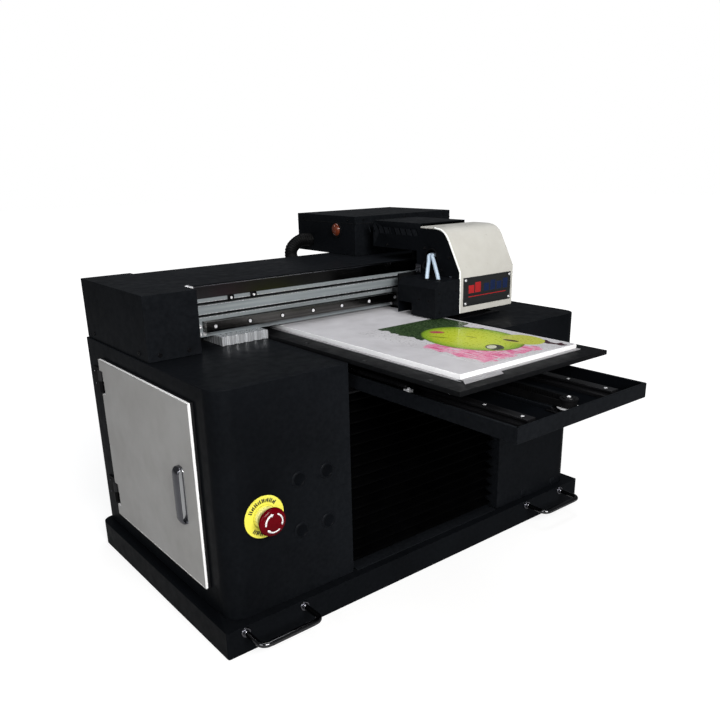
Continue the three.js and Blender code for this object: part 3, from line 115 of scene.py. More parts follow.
# ---------------------------------------------------------------- materials
class Shader:
    """A Principled material whose colour, roughness and bump are built from nodes."""

    def __init__(self, name, rough, metal=0.0, spec=0.5, coat=0.0):
        self.material = bpy.data.materials.new(name)
        self.material.use_nodes = True
        self.tree = self.material.node_tree
        self.tree.nodes.clear()
        out = self.tree.nodes.new("ShaderNodeOutputMaterial")
        self.bsdf = self.tree.nodes.new("ShaderNodeBsdfPrincipled")
        self.tree.links.new(self.bsdf.outputs[0], out.inputs[0])
        inputs = self.bsdf.inputs
        inputs["Roughness"].default_value = rough
        inputs["Metallic"].default_value = metal
        inputs["Specular IOR Level"].default_value = spec
        inputs["Coat Weight"].default_value = coat
        self.coords = self.tree.nodes.new("ShaderNodeTexCoord").outputs["Object"]

    def node(self, kind, **inputs):
        made = self.tree.nodes.new(kind)
        for key, value in inputs.items():
            self.feed(made.inputs[key.replace("_", " ")], value)
        return made

    def feed(self, socket, value):
        if isinstance(value, bpy.types.NodeSocket):
            self.tree.links.new(value, socket)
        else:
            socket.default_value = value

    def noise(self, scale, detail=3.0, rough=0.55, stretch=None):
        vector = self.node("ShaderNodeMapping", Vector=self.coords,
                           Scale=stretch).outputs[0] if stretch else self.coords
        made = self.node("ShaderNodeTexNoise", Vector=vector, Scale=scale, Detail=detail, Roughness=rough)
        return made.outputs["Fac"]

    def ramp(self, factor, stops):
        made = self.node("ShaderNodeValToRGB", Fac=factor)
        elements = made.color_ramp.elements
        while len(elements) < len(stops):
            elements.new(0.5)
        for element, (place, colour) in zip(elements, stops):
            element.position = place
            element.color = (*colour, 1)
        return made.outputs["Color"]

    def mix(self, factor, a, b):
        made = self.tree.nodes.new("ShaderNodeMix")
        made.data_type = "RGBA"
        self.feed(made.inputs[0], factor)
        for socket, value in ((made.inputs[6], a), (made.inputs[7], b)):
            self.feed(socket, value if isinstance(value, bpy.types.NodeSocket) else (*value, 1))
        return made.outputs[2]

    def math(self, how, a, b=0.0, c=0.0):
        made = self.tree.nodes.new("ShaderNodeMath")
        made.operation = how
        for socket, value in zip(made.inputs, (a, b, c)):
            self.feed(socket, value)
        return made.outputs[0]

    def spread(self, factor, low, high, start=0.3, end=0.7):
        made = self.node("ShaderNodeMapRange")
        for key, value in (("Value", factor), ("From Min", start), ("From Max", end), ("To Min", low),
                           ("To Max", high)):
            self.feed(made.inputs[key], value)
        return made.outputs[0]

    def colour(self, value):
        self.feed(self.bsdf.inputs["Base Color"], value)

    def roughness(self, value):
        self.feed(self.bsdf.inputs["Roughness"], value)

    def bump(self, *layers):
        """Each layer is (height socket, strength, distance in millimetres)."""
        normal = None
        for height, strength, distance in layers:
            made = self.node("ShaderNodeBump", Height=height, Strength=strength, Distance=distance * MM)
            if normal is not None:
                self.feed(made.inputs["Normal"], normal)
            normal = made.outputs[0]
        self.feed(self.bsdf.inputs["Normal"], normal)

    def edges(self, amount):
        """Where the surface turns sharply outwards, from 0 to amount."""
        geometry = self.tree.nodes.new("ShaderNodeNewGeometry")
        return self.spread(geometry.outputs["Pointiness"], 0.0, amount, 0.52, 0.6)

    def axes(self):
        return self.node("ShaderNodeSeparateXYZ", Vector=self.coords).outputs


def powder_coat(name, dark, light, rough, spec):
    """Fine-grained black coat, a little worn along its edges."""
    m = Shader(name, rough, spec=spec)
    broad = m.noise(9, 4)
    base = m.ramp(broad, ((0.3, dark), (0.72, light)))
    worn = m.math("MULTIPLY", m.edges(0.25), m.noise(160, 5))
    m.colour(m.mix(worn, base, tuple(min(1, v * 7 + 0.03) for v in light)))
    m.roughness(m.spread(m.noise(60, 4), rough - 0.07, rough + 0.08))
    m.bump((m.noise(900, 2), 0.16, 0.25), (m.noise(230, 2), 0.06, 0.4))
    return m.material


def paint(name, shade, dusty, rough):
    """Smooth paint with faint stains and streaks."""
    m = Shader(name, rough)
    stains = m.noise(14, 6, 0.62)
    base = m.ramp(stains, ((0.35, dusty), (0.62, shade)))
    streak = m.noise(30, 3, stretch=(1, 1, 0.08))
    m.colour(m.mix(m.spread(streak, 0.0, 0.10, 0.5, 0.8), base, tuple(v * 0.72 for v in shade)))
    m.roughness(m.spread(m.noise(40, 4), rough - 0.06, rough + 0.1))
    m.bump((m.noise(650, 2), 0.05, 0.2), (m.noise(6, 2), 0.02, 2.0))
    return m


# where the door's outer skin ends inwards and rearwards, and where its black hinge tabs begin, in metres
DOOR_SKIN_BACK, DOOR_SKIN_REAR, DOOR_TABS = -0.3710, 0.151, 0.1535


def door_paint():
    """Grey paint; on the door's edge faces a near-white painted highlight along the outer skin and black
    painted shade on the return behind it; black hinge tabs.
    """
    dark = (0.004, 0.004, 0.005)
    m = paint("door_paint", (0.405, 0.40, 0.39), (0.36, 0.352, 0.34), 0.42)
    normal = m.tree.nodes.new("ShaderNodeTexCoord").outputs["Normal"]
    outwards = m.node("ShaderNodeSeparateXYZ", Vector=normal).outputs[0]
    flat = m.math("GREATER_THAN", m.math("ABSOLUTE", outwards), 0.7)
    face = m.bsdf.inputs["Base Color"].links[0].from_socket
    x, y, _ = m.axes()
    behind = m.math("MAXIMUM", m.math("GREATER_THAN", x, DOOR_SKIN_BACK),
                    m.math("GREATER_THAN", y, DOOR_SKIN_REAR))
    # edge faces: near-white painted highlight on the outer skin's edge, black painted shade on the return
    # behind it, in the gap to the cabinet
    edge = m.mix(behind, (0.95, 0.95, 0.96), dark)
    m.colour(m.mix(m.math("GREATER_THAN", y, DOOR_TABS), m.mix(flat, edge, face), dark))
    return m.material


def brushed(name, dark, light, rough, stretch, metal=1.0, spec=0.5, lines=0.12):
    """Metal with hairlines along the axes that stretch leaves short."""
    m = Shader(name, rough, metal=metal, spec=spec)
    hairs = m.noise(260, 4, 0.7, stretch)
    m.colour(m.mix(m.spread(m.noise(12, 4), 0, 0.5), m.ramp(hairs, ((0.3, dark), (0.7, light))), dark))
    m.roughness(m.spread(hairs, rough - 0.06, rough + 0.1))
    m.bump((hairs, lines, 0.12), (m.noise(18, 3), 0.03, 0.8))
    return m.material


def polished(name, tint, rough, smudge=0.07):
    m = Shader(name, rough, metal=1.0)
    marks = m.noise(45, 5, 0.65)
    m.colour(m.ramp(marks, ((0.3, tuple(v * 0.86 for v in tint)), (0.6, tint))))
    m.roughness(m.spread(marks, rough, rough + smudge))
    m.bump((m.noise(30, 2), 0.02, 0.4), (m.noise(700, 2), 0.015, 0.1))
    return m.material


def plastic(name, dark, light, rough, spec=0.45, grain=1100, strength=0.12, coat=0.0):
    m = Shader(name, rough, spec=spec, coat=coat)
    m.colour(m.ramp(m.noise(22, 4), ((0.3, dark), (0.7, light))))
    m.roughness(m.spread(m.noise(120, 3), rough - 0.05, rough + 0.08))
    m.bump((m.noise(grain, 2), strength, 0.18))
    return m.material


BLACK = powder_coat("black_powder_coat", (0.0018, 0.0022, 0.0029), (0.0034, 0.0041, 0.0054), 0.36, 0.022)
DEEP_BLACK = powder_coat("deep_black_coat", (0.0014, 0.0015, 0.0018), (0.0030, 0.0032, 0.0037), 0.42, 0.03)
DOOR = door_paint()
COVER = paint("cover_paint", (0.575, 0.568, 0.53), (0.515, 0.503, 0.465), 0.33).material
# near-white, brighter than the cream cover paint: a painted highlight along the cover's rolled edge
COVER_EDGE_HIGHLIGHT = plastic("cover_edge_highlight", (0.93, 0.94, 0.92), (0.99, 1.0, 0.98), 0.4, 0.4, 900, 0.04)
ALUMINIUM = brushed("aluminium", (0.225, 0.25, 0.265), (0.33, 0.365, 0.38), 0.42, (0.02, 1, 1), metal=0.35)
MILLED = brushed("milled_aluminium", (0.50, 0.52, 0.55), (0.92, 0.94, 0.97), 0.24, (1, 1, 0.02), metal=0.6)
STEEL = brushed("rail_steel", (0.05, 0.048, 0.045), (0.24, 0.235, 0.225), 0.16, (0.006, 1, 1), lines=0.2)
Y_STEEL = brushed("bed_rail_steel", (0.006, 0.006, 0.007), (0.016, 0.016, 0.018), 0.3, (1, 0.02, 1),
                  metal=0.4)
STRIP = polished("strip_steel", (0.055, 0.054, 0.055), 0.14)
CHROME = polished("chrome", (0.78, 0.79, 0.81), 0.05)
DARK_CHROME = polished("dark_chrome", (0.10, 0.10, 0.105), 0.10)
SATIN = polished("satin_metal", (0.19, 0.19, 0.21), 0.18)
BRIGHT = brushed("bright_screw", (0.74, 0.74, 0.76), (0.92, 0.92, 0.94), 0.28, None, metal=0.4, lines=0.02)
HARDWARE = plastic("black_hardware", (0.0025, 0.0025, 0.003), (0.0055, 0.0055, 0.0062), 0.26, 0.10)
RUBBER = plastic("black_rubber", (0.0018, 0.0018, 0.002), (0.0045, 0.0045, 0.005), 0.5, 0.07, 700, 0.2)
BELLOWS = plastic("bellows_cloth", (0.0003, 0.0003, 0.0004), (0.0010, 0.0010, 0.0012), 0.5, 0.015, 1500, 0.25)
PLASTIC = plastic("black_plastic", (0.003, 0.003, 0.0035), (0.006, 0.006, 0.007), 0.38, 0.10)
AMBER = plastic("amber_lens", (0.075, 0.014, 0.006), (0.17, 0.036, 0.013), 0.12, 0.4, 300, 0.04, coat=0.4)
YELLOW = plastic("yellow_label", (0.80, 0.74, 0.07), (0.88, 0.83, 0.12), 0.38, 0.4, 900, 0.04)
INK = plastic("black_print", (0.008, 0.008, 0.008), (0.014, 0.014, 0.014), 0.4, 0.4, 900, 0.04)
RED = plastic("red_plastic", (0.075, 0.0, 0.002), (0.14, 0.0, 0.004), 0.16, 0.08, 500, 0.03, coat=0.06)
COLLAR = plastic("collar_plastic", (0.78, 0.74, 0.20), (0.88, 0.85, 0.38), 0.25, 0.4, 500, 0.03, coat=0.3)
LOGO_RED = plastic("print_red", (0.30, 0.01, 0.012), (0.42, 0.015, 0.018), 0.4)
LOGO_BLUE = plastic("print_blue", (0.006, 0.014, 0.048), (0.009, 0.019, 0.068), 0.4, 0.2)
WHITE_PRINT = plastic("white_print", (0.78, 0.78, 0.78), (0.86, 0.86, 0.86), 0.35, 0.4, 900, 0.03)
TUBE = plastic("grey_blue_tube", (0.36, 0.46, 0.57), (0.50, 0.60, 0.70), 0.3, 0.5, 500, 0.03, coat=0.3)
PLATE = brushed("nameplate", (0.016, 0.017, 0.018), (0.026, 0.027, 0.028), 0.34, (0.03, 1, 1), 0.2, 0.3)
LAYER = paint("board_layer", (0.30, 0.295, 0.31), (0.22, 0.215, 0.225), 0.4).material
CIRCUIT = plastic("circuit_green", (0.010, 0.060, 0.028), (0.018, 0.095, 0.045), 0.4)
GREEN_GLASS = plastic("uv_window", (0.05, 0.03, 0.12), (0.09, 0.05, 0.2), 0.08, 0.5, 400, 0.02, coat=1.0)


def shaded_board_material():
    # the board's top face, greyer than the board_edge white of its sides: painted shade on the top, while the
    # edges keep the board's full white
    m = Shader("board_white", 0.34, spec=0.4)
    mottle = m.noise(22, 6, 0.6)
    m.colour(m.ramp(mottle, ((0.3, (0.50, 0.49, 0.51)), (0.52, (0.56, 0.55, 0.575)),
                             (0.75, (0.60, 0.595, 0.615)))))
    m.roughness(m.spread(m.noise(70, 4), 0.28, 0.44))
    m.bump((m.noise(900, 2), 0.05, 0.15))
    return m.material


BOARD = shaded_board_material()
BOARD_EDGE = plastic("board_edge", (0.90, 0.90, 0.91), (0.97, 0.97, 0.98), 0.4, 0.4, 900, 0.05)

SLOT_LOOK = {
    "black_powder_coat": BLACK, "door_paint": DOOR, "cover_paint": COVER, "nameplate_grey": PLATE,
    "aluminium": ALUMINIUM, "rail_steel": STEEL, "strip_steel": STRIP, "chrome": CHROME,
    "black_hardware": HARDWARE, "black_rubber": RUBBER, "black_plastic": PLASTIC, "amber_lens": AMBER,
    "yellow_label": YELLOW, "red_plastic": RED, "grey_blue_tube": TUBE, "board_white": BOARD,
    "circuit_green": CIRCUIT,
}
# looks of the nodes that differ from their slot's
NODE_LOOK = {
    "beam_riser_left": MILLED, "beam_riser_right": MILLED, "y_rail_left": Y_STEEL, "y_rail_right": Y_STEEL,
    "platform_plate": DEEP_BLACK, "table_tray": BLACK, "y_bearing_left": Y_STEEL, "y_bearing_right": Y_STEEL,
    "x_bearing_block": Y_STEEL, "carriage_back_plate": DEEP_BLACK, "lift_crossbeam": DEEP_BLACK,
    "door_hinge_lower": RUBBER, "door_hinge_upper": RUBBER, "estop_collar": COLLAR,
    "y_idler_pulley": HARDWARE, "uv_lamp_housing": BLACK,
}
# edge rounding in millimetres, 0.4 on every other node
NODE_BEVEL = {
    "base_plinth": 1.6, "left_cabinet_shell": 1.1, "right_cabinet_shell": 1.1, "beam_top_cover": 0.9,
    "beam_left_end_cover": 1.1, "rear_box_cover": 0.9, "table_tray": 0.9, "platform_plate": 0.8,
    "print_board": 0.5, "cabinet_door": 0.7, "carriage_front_cover": 0.8, "uv_lamp_housing": 0.7,
    "carriage_housing": 0.5, "encoder_strip": 0.25, "x_linear_rail": 0.3, "estop_label": 0.2,
}


def dress(thing, bevel):
    """Rounds a mesh's sharp edges and shades it smoothly, without touching the mesh itself."""
    for polygon in thing.data.polygons:
        polygon.use_smooth = True
    weld = thing.modifiers.new("weld", "WELD")
    weld.merge_threshold = 0.00002
    flat = thing.modifiers.new("planar", "DECIMATE")
    flat.decimate_type = "DISSOLVE"
    flat.angle_limit = math.radians(0.6)
    round_off = thing.modifiers.new("bevel", "BEVEL")
    round_off.width = bevel * MM
    round_off.segments = 2
    round_off.limit_method = "ANGLE"
    round_off.angle_limit = math.radians(32)
    round_off.miter_outer = "MITER_ARC"
    weighted = thing.modifiers.new("normals", "WEIGHTED_NORMAL")
    weighted.weight = 50


def dress_frame():
    slots = {entry["node"]: entry["material_slot"] for entry in frame["record"]["subparts"]}
    for name, thing in NODES.items():
        look = NODE_LOOK.get(name, SLOT_LOOK[slots[name]])
        thing.data.materials.clear()
        thing.data.materials.append(look)
        dress(thing, NODE_BEVEL.get(name, 0.4))


dress_frame()


# ---------------------------------------------------------------- mesh helpers, in millimetres
def add(bm, other):
    """Copies one bmesh into another and frees it."""
    mesh = bpy.data.meshes.new("part")
    other.to_mesh(mesh)
    other.free()
    bm.from_mesh(mesh)
    bpy.data.meshes.remove(mesh)


def block(bm, low, high, bevel=0.4, segments=2):
    made = bmesh.new()
    bmesh.ops.create_cube(made, size=1)
    size = Vector(high) - Vector(low)
    middle = (Vector(high) + Vector(low)) / 2
    for vert in made.verts:
        vert.co = Vector(vert.co[i] * size[i] for i in range(3)) + middle
    width = min(bevel, min(size) * 0.45)
    if width > 0:
        bmesh.ops.bevel(made, geom=made.edges[:], offset=width, segments=segments, affect="EDGES",
                        profile=0.5)
    add(bm, made)


def centre_of(corners):
    return (corners[0] + corners[1]) / 2


def turns(count):
    """Angles of count equal steps round a circle."""
    return [2 * math.pi * k / count for k in range(count)]


def ring(bm, centre, u, v, radius, sides):
    """Vertices on a circle in the plane of u and v."""
    return [bm.verts.new(centre + (u * math.cos(a) + v * math.sin(a)) * radius) for a in turns(sides)]


def skin(bm, rings, closed=True):
    """Joins each row of vertices to the next one."""
    for a, b in zip(rings, rings[1:]):
        for k in range(len(a) if closed else len(a) - 1):
            n = (k + 1) % len(a)
            bm.faces.new((a[k], a[n], b[n], b[k]))


def facet(bm, corners):
    bm.faces.new([bm.verts.new(c) for c in corners])


def stroke(bm, at, along, across, above, below, half):
    """A flat mark round a point, above and below it one way and half wide to both sides the other way."""
    top, bottom, side = at + along * above, at - along * below, across * half
    facet(bm, (top + side, top - side, bottom - side, bottom + side))


def frame_of(axis):
    """Two directions square to an axis."""
    axis = Vector(axis).normalized()
    side = Vector((0, 0, 1)) if abs(axis.z) < 0.9 else Vector((1, 0, 0))
    u = axis.cross(side).normalized()
    return u, axis.cross(u).normalized(), axis


def lathe(bm, profile, centre, axis, segments=32):
    """Turns a profile of (radius, height) about an axis through centre. Both ends lie on the axis."""
    u, v, w = frame_of(axis)
    centre = Vector(centre)
    rings = []
    for radius, height in profile:
        at = centre + w * height
        rings.append([bm.verts.new(at)] if radius < 1e-6 else ring(bm, at, u, v, radius, segments))
    for a, b in zip(rings, rings[1:]):
        for i in range(segments):
            j = (i + 1) % segments
            if len(a) == 1:
                bm.faces.new((a[0], b[i], b[j]))
            elif len(b) == 1:
                bm.faces.new((a[i], b[0], a[j]))
            else:
                bm.faces.new((a[i], b[i], b[j], a[j]))


def sweep(bm, points, radius, sides=16):
    """A tube along points. radius is a number or a function of the share of the way along."""
    points = [Vector(p) for p in points]
    lengths = [0.0]
    for a, b in zip(points, points[1:]):
        lengths.append(lengths[-1] + (b - a).length)
    u = None
    rings = []
    for i, point in enumerate(points):
        ahead = points[min(i + 1, len(points) - 1)]
        behind = points[max(i - 1, 0)]
        along = (ahead - behind).normalized()
        if u is None:
            u = frame_of(along)[0]
        u = (u - along * u.dot(along)).normalized()
        v = along.cross(u)
        r = radius(lengths[i] / lengths[-1]) if callable(radius) else radius
        rings.append(ring(bm, point, u, v, r, sides))
    skin(bm, rings)
    bm.faces.new(list(reversed(rings[0])))
    bm.faces.new(rings[-1])


def curve(points, steps=8):
    """A smooth run of points through the given ones."""
    points = [Vector(p) for p in points]
    padded = [points[0] * 2 - points[1], *points, points[-1] * 2 - points[-2]]
    out = []
    for i in range(1, len(padded) - 2):
        a, b, c, d = padded[i - 1:i + 3]
        for k in range(steps):
            t = k / steps
            out.append(0.5 * ((2 * b) + (c - a) * t + (2 * a - 5 * b + 4 * c - d) * t * t
                              + (3 * b - a - 3 * c + d) * t ** 3))
    return [*out, points[-1]]


def plate(bm, outline, axis, low, high):
    """A closed outline pushed along an axis: (y, z) for 0, (x, z) for 1 and (x, y) for 2."""
    def place(u, v, w):
        return {0: (w, u, v), 1: (u, w, v), 2: (u, v, w)}[axis]
    made = bmesh.new()
    a = [made.verts.new(place(u, v, low)) for u, v in outline]
    b = [made.verts.new(place(u, v, high)) for u, v in outline]
    made.faces.new(a)
    made.faces.new(b)
    for i in range(len(a)):
        j = (i + 1) % len(a)
        made.faces.new((a[i], a[j], b[j], b[i]))
    bmesh.ops.recalc_face_normals(made, faces=made.faces)
    add(bm, made)


def piece(name, bm, look, body, bevel=0.0, replaces=()):
    """Makes an object from a bmesh in millimetres and hangs it on a body."""
    bmesh.ops.recalc_face_normals(bm, faces=bm.faces)
    bmesh.ops.scale(bm, vec=(MM, MM, MM), verts=bm.verts)
    mesh = bpy.data.meshes.new(name)
    bm.to_mesh(mesh)
    bm.free()
    mesh.materials.append(look)
    made = bpy.data.objects.new(name, mesh)
    scene.collection.objects.link(made)
    if bevel:
        dress(made, bevel)
    else:
        for polygon in mesh.polygons:
            polygon.use_smooth = True
        split = made.modifiers.new("edges", "EDGE_SPLIT")
        split.split_angle = math.radians(38)
    if body:
        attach(made, body)
    if replaces:
        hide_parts(*replaces)
    return made


def cap_screw(bm, centre, axis, radius, height, recess=0.5):
    """A domed cap screw with a socket, standing on centre."""
    e = min(0.18 * radius, 0.4 * height)
    lathe(bm, ((0, 0), (radius, 0), (radius, height - e), (radius - e, height), (radius * 0.56, height),
               (radius * 0.5, height - e * 0.4), (radius * 0.48, height * (1 - recess)),
               (0, height * (1 - recess))), centre, axis, 20)


def washer(bm, centre, axis, outer, inner, height):
    """A flat ring standing on centre."""
    u, v, w = frame_of(axis)
    e = height * 0.25
    profile = ((inner, 0), (outer, 0), (outer, height - e), (outer - e, height), (inner, height))
    rings = [ring(bm, Vector(centre) + w * rise, u, v, radius, 28) for radius, rise in profile]
    skin(bm, [*rings, rings[0]])


LEFT, FRONT, UP, REAR, DOWN = (-1, 0, 0), (0, -1, 0), (0, 0, 1), (0, 1, 0), (0, 0, -1)

left_cab = box("left_cabinet_shell")
right_cab = box("right_cabinet_shell")
door = box("cabinet_door")
beam = box("beam_extrusion")
rail = box("x_linear_rail")
strip = box("encoder_strip")
hood = box("beam_top_cover")
end_cover = box("beam_left_end_cover")
rear_box = box("rear_box_cover")
cover = box("carriage_front_cover")
housing = box("carriage_housing")
lamp = box("uv_lamp_housing")
board = box("print_board")
platform = box("platform_plate")
tray = box("table_tray")
name_plate = box("carriage_nameplate")


# ---------------------------------------------------------------- lifting handles
def lift_handle(side):
    low, high = box(f"lift_handle_{side}")
    rod, flange, bend = 4.0, 7.5, 11
    z = (low.z + high.z) / 2
    x0, x1 = low.x + flange, high.x - flange
    y1, y0 = high.y, low.y + rod
    points = [(x0, y1, z)]
    points += [(x0, y1 - 4 - (y1 - 4 - y0 - bend) * i / 4, z) for i in range(5)]
    for i in range(1, 9):
        a = math.pi / 2 * i / 8
        points.append((x0 + bend - bend * math.cos(a), y0 + bend - bend * math.sin(a), z))
    mirror = [(x0 + x1 - x, y, zz) for x, y, zz in reversed(points)]
    bm = bmesh.new()
    sweep(bm, [*points, *mirror], rod, 20)
    piece(f"handle_rod_{side}", bm, DARK_CHROME, "frame", replaces=(f"lift_handle_{side}",))
    bm = bmesh.new()
    for x in (x0, x1):
        lathe(bm, ((0, 0), (flange, 0), (flange, 1.6), (flange - 1, 3), (rod + 0.9, 3), (rod + 0.6, 5.5),
                   (rod + 0.1, 6), (0, 6)), (x, y1, z), FRONT, 28)
    piece(f"handle_flanges_{side}", bm, SATIN, "frame")
    bm = bmesh.new()
    sweep(bm, [(x0 + bend + 3, y0, z), (x0 + bend + 8, y0, z), (x1 - bend - 8, y0, z),
               (x1 - bend - 3, y0, z)],
          rod + 0.25, 20)
    piece(f"handle_grip_{side}", bm, DARK_CHROME, "frame")


# ---------------------------------------------------------------- door, its handle and hinges
def door_handle():
    low, high = box("door_handle")
    y = (low.y + high.y) / 2
    bottom, top = low.z + 4, high.z - 4
    reach, half, swell = 10.5, 9.2, 2.4
    bm = bmesh.new()
    path = [(0.0, bottom + 1.0)]
    for i in range(9):
        a = math.pi / 2 * i / 8
        path.append((2 + (reach - 4.6) * math.sin(a), bottom + 1.2 + 9 * (1 - math.cos(a))))
    path += [(reach - 2.4, bottom + (top - bottom) * t) for t in (0.3, 0.4, 0.5, 0.6, 0.7)]
    path += [(x, top + bottom - z) for x, z in reversed(path[:10])]
    rings = []
    for i, (out, z) in enumerate(path):
        t = (z - bottom) / (top - bottom)
        wide = half * min(1, 0.35 + 2.6 * math.sin(math.pi * min(max(t, 0.0), 1.0)) ** 0.55)
        before, after = path[max(i - 1, 0)], path[min(i + 1, len(path) - 1)]
        dx, dz = after[0] - before[0], after[1] - before[1]
        size = math.hypot(dx, dz)
        nx, nz = dz / size, -dx / size
        rings.append([
            bm.verts.new((high.x - out - nx * swell * math.cos(a), y - wide * math.sin(a),
                          z + nz * swell * math.cos(a)))
            for a in turns(24)
        ])
    skin(bm, rings)
    bm.faces.new(rings[0])
    bm.faces.new(rings[-1])
    piece("handle_pull", bm, SATIN, "door", replaces=("door_handle",))
    bm = bmesh.new()
    rim = []
    for a in turns(48):
        c, q = math.cos(a), math.sin(a)
        rim.append((y + (half + 1.4) * c, (bottom + top) / 2 + q * (half + 1.4)
                    + math.copysign((top - bottom) / 2 - half, q) * min(1, abs(q) * 6)))
    plate(bm, rim, 0, high.x - 1.1, high.x)
    piece("handle_plate", bm, CHROME, "door", bevel=0.4)


def door_details():
    low, high = door
    face = low.x + 1.3
    leaves = (box("door_hinge_lower"), box("door_hinge_upper"))
    bm = bmesh.new()
    for leaf in leaves:
        middle = (leaf[0].z + leaf[1].z) / 2
        for up in (-10.5, 10.5):
            cap_screw(bm, (leaf[1].x - 1.6, leaf[1].y - 6, middle + up), LEFT, 1.5, 1.6)
    piece("hinge_screws", bm, SATIN, "frame")
    bm = bmesh.new()
    for leaf in leaves:
        z0, z1 = leaf[0].z, leaf[1].z
        y, x = door[1].y - 4, leaf[0].x + 4
        for k in range(5):
            a, b = z0 + (z1 - z0) * k / 5 + 0.3, z0 + (z1 - z0) * (k + 1) / 5 - 0.3
            lathe(bm, ((0, 0), (2.6, 0), (3.0, 0.4), (3.0, b - a - 0.4), (2.6, b - a), (0, b - a)),
                  (x, y, a), UP, 16)
    piece("hinge_knuckles", bm, RUBBER, "frame")
    bm = bmesh.new()
    # the folded rim that stands a little proud of the door skin
    rim = 1.6
    y1 = high.y - 23
    for a, b in (((low.y, low.z), (y1, low.z + rim)), ((low.y, high.z - rim), (y1, high.z)),
                 ((low.y, low.z), (low.y + rim, high.z))):
        block(bm, (face - 0.25, a[0], a[1]), (face + 0.6, b[0], b[1]), 0.2)
    piece("door_rim", bm, DOOR, "door")
    bm = bmesh.new()
    # the cabinet's stop lip around the doorway, seen when the door is open
    for lo, hi in (((low.y + 9, low.z + 5), (high.y - 15, low.z + 7.4)),
                   ((low.y + 9, high.z - 7.4), (high.y - 15, high.z - 5))):
        block(bm, (left_cab[0].x + 2.6, lo[0], lo[1]), (left_cab[0].x + 12, hi[0], hi[1]), 0.3)
    piece("doorway_lip", bm, BLACK, "frame")


# ---------------------------------------------------------------- emergency stop
def emergency_stop():
    low, high = box("estop_head")
    x, _, z = centre_of((low, high))
    r = (high.x - low.x) / 2
    rear = high.y + 1.4
    depth = high.y - low.y - 2.4
    bm = bmesh.new()
    profile = [(0, 0), (r * 0.55, 0), (r * 0.6, 3), (r * 0.9, 3.8), (r, 6)]
    for i in range(9):
        a = math.pi / 2 * i / 8
        profile.append((r * (0.58 + 0.42 * math.cos(a)), 8 + (depth - 9.2) * math.sin(a)))
    profile += [(r * 0.42, depth - 0.9), (0, depth - 0.5)]
    lathe(bm, profile, (x, rear, z), FRONT, 56)
    piece("estop_mushroom", bm, RED, "estop_head", replaces=("estop_head",))
    face = rear - depth - 0.9
    bm = bmesh.new()
    steps, turn = 14, math.radians(-74)
    inner, outer = r * 0.60, r * 0.69
    for start in (math.radians(65 - 120 * k) for k in range(3)):
        ring_a, ring_b = [], []
        for i in range(steps + 1):
            a = start + turn * i / steps
            ring_a.append(Vector((x + inner * math.cos(a), face + 1.9, z + inner * math.sin(a))))
            ring_b.append(Vector((x + outer * math.cos(a), face + 2.9, z + outer * math.sin(a))))
        for a, b, c, d in zip(ring_a, ring_a[1:], ring_b[1:], ring_b):
            facet(bm, (a, b, c, d))
        a = start + turn
        tip = a - math.radians(20)
        mid = (inner + outer) / 2
        head = ((inner - 1.3, a, 1.4), (outer + 1.3, a, 3.5), (mid, tip, 2.4))
        facet(bm, [(x + q * math.cos(t), face + drop, z + q * math.sin(t)) for q, t, drop in head])
    bmesh.ops.remove_doubles(bm, verts=bm.verts, dist=0.001)
    made = piece("estop_arrows", bm, WHITE_PRINT, "estop_head")
    solid = made.modifiers.new("thick", "SOLIDIFY")
    solid.thickness = 1.6 * MM
    solid.offset = 0
    label = box("estop_label")
    bm = bmesh.new()
    washer(bm, (x, label[0].y, z), FRONT, 17.2, 16.9, 0.12)
    for first, count, step_angle in ((150, 8, -14.5), (226, 4, 14.5)):
        for k in range(count):
            t = math.radians(first + k * step_angle)
            q = Vector((x + 23.6 * math.cos(t), label[0].y - 0.1, z + 23.6 * math.sin(t)))
            u = Vector((math.cos(t), 0, math.sin(t)))
            w = Vector((-math.sin(t), 0, math.cos(t)))
            for side, tall in ((-1.35, 3.0), (1.35, 1.8 if k % 2 else 3.0)):
                stroke(bm, q + w * side, u, w, tall, 2.8, 0.85)
            if k % 3:
                stroke(bm, q, u, w, 0.6, 0.5, 1.3)
    made = piece("estop_label_marks", bm, INK, "frame")
    solid = made.modifiers.new("thick", "SOLIDIFY")
    solid.thickness = 0.12 * MM
    collar = box("estop_collar")
    bm = bmesh.new()
    for a in turns(24):
        sweep(bm, [(x + 15 * math.cos(a), collar[0].y + out, z + 15 * math.sin(a)) for out in (0.6, 3, 5.6)],
              0.8, 8)
    piece("estop_collar_grip", bm, COLLAR, "frame")


# ---------------------------------------------------------------- cabinet plugs and screws
PLUG_COLUMNS, PLUG_ROWS, PLUG_RADIUS = (-248, -201), (221.4, 143.8), 12


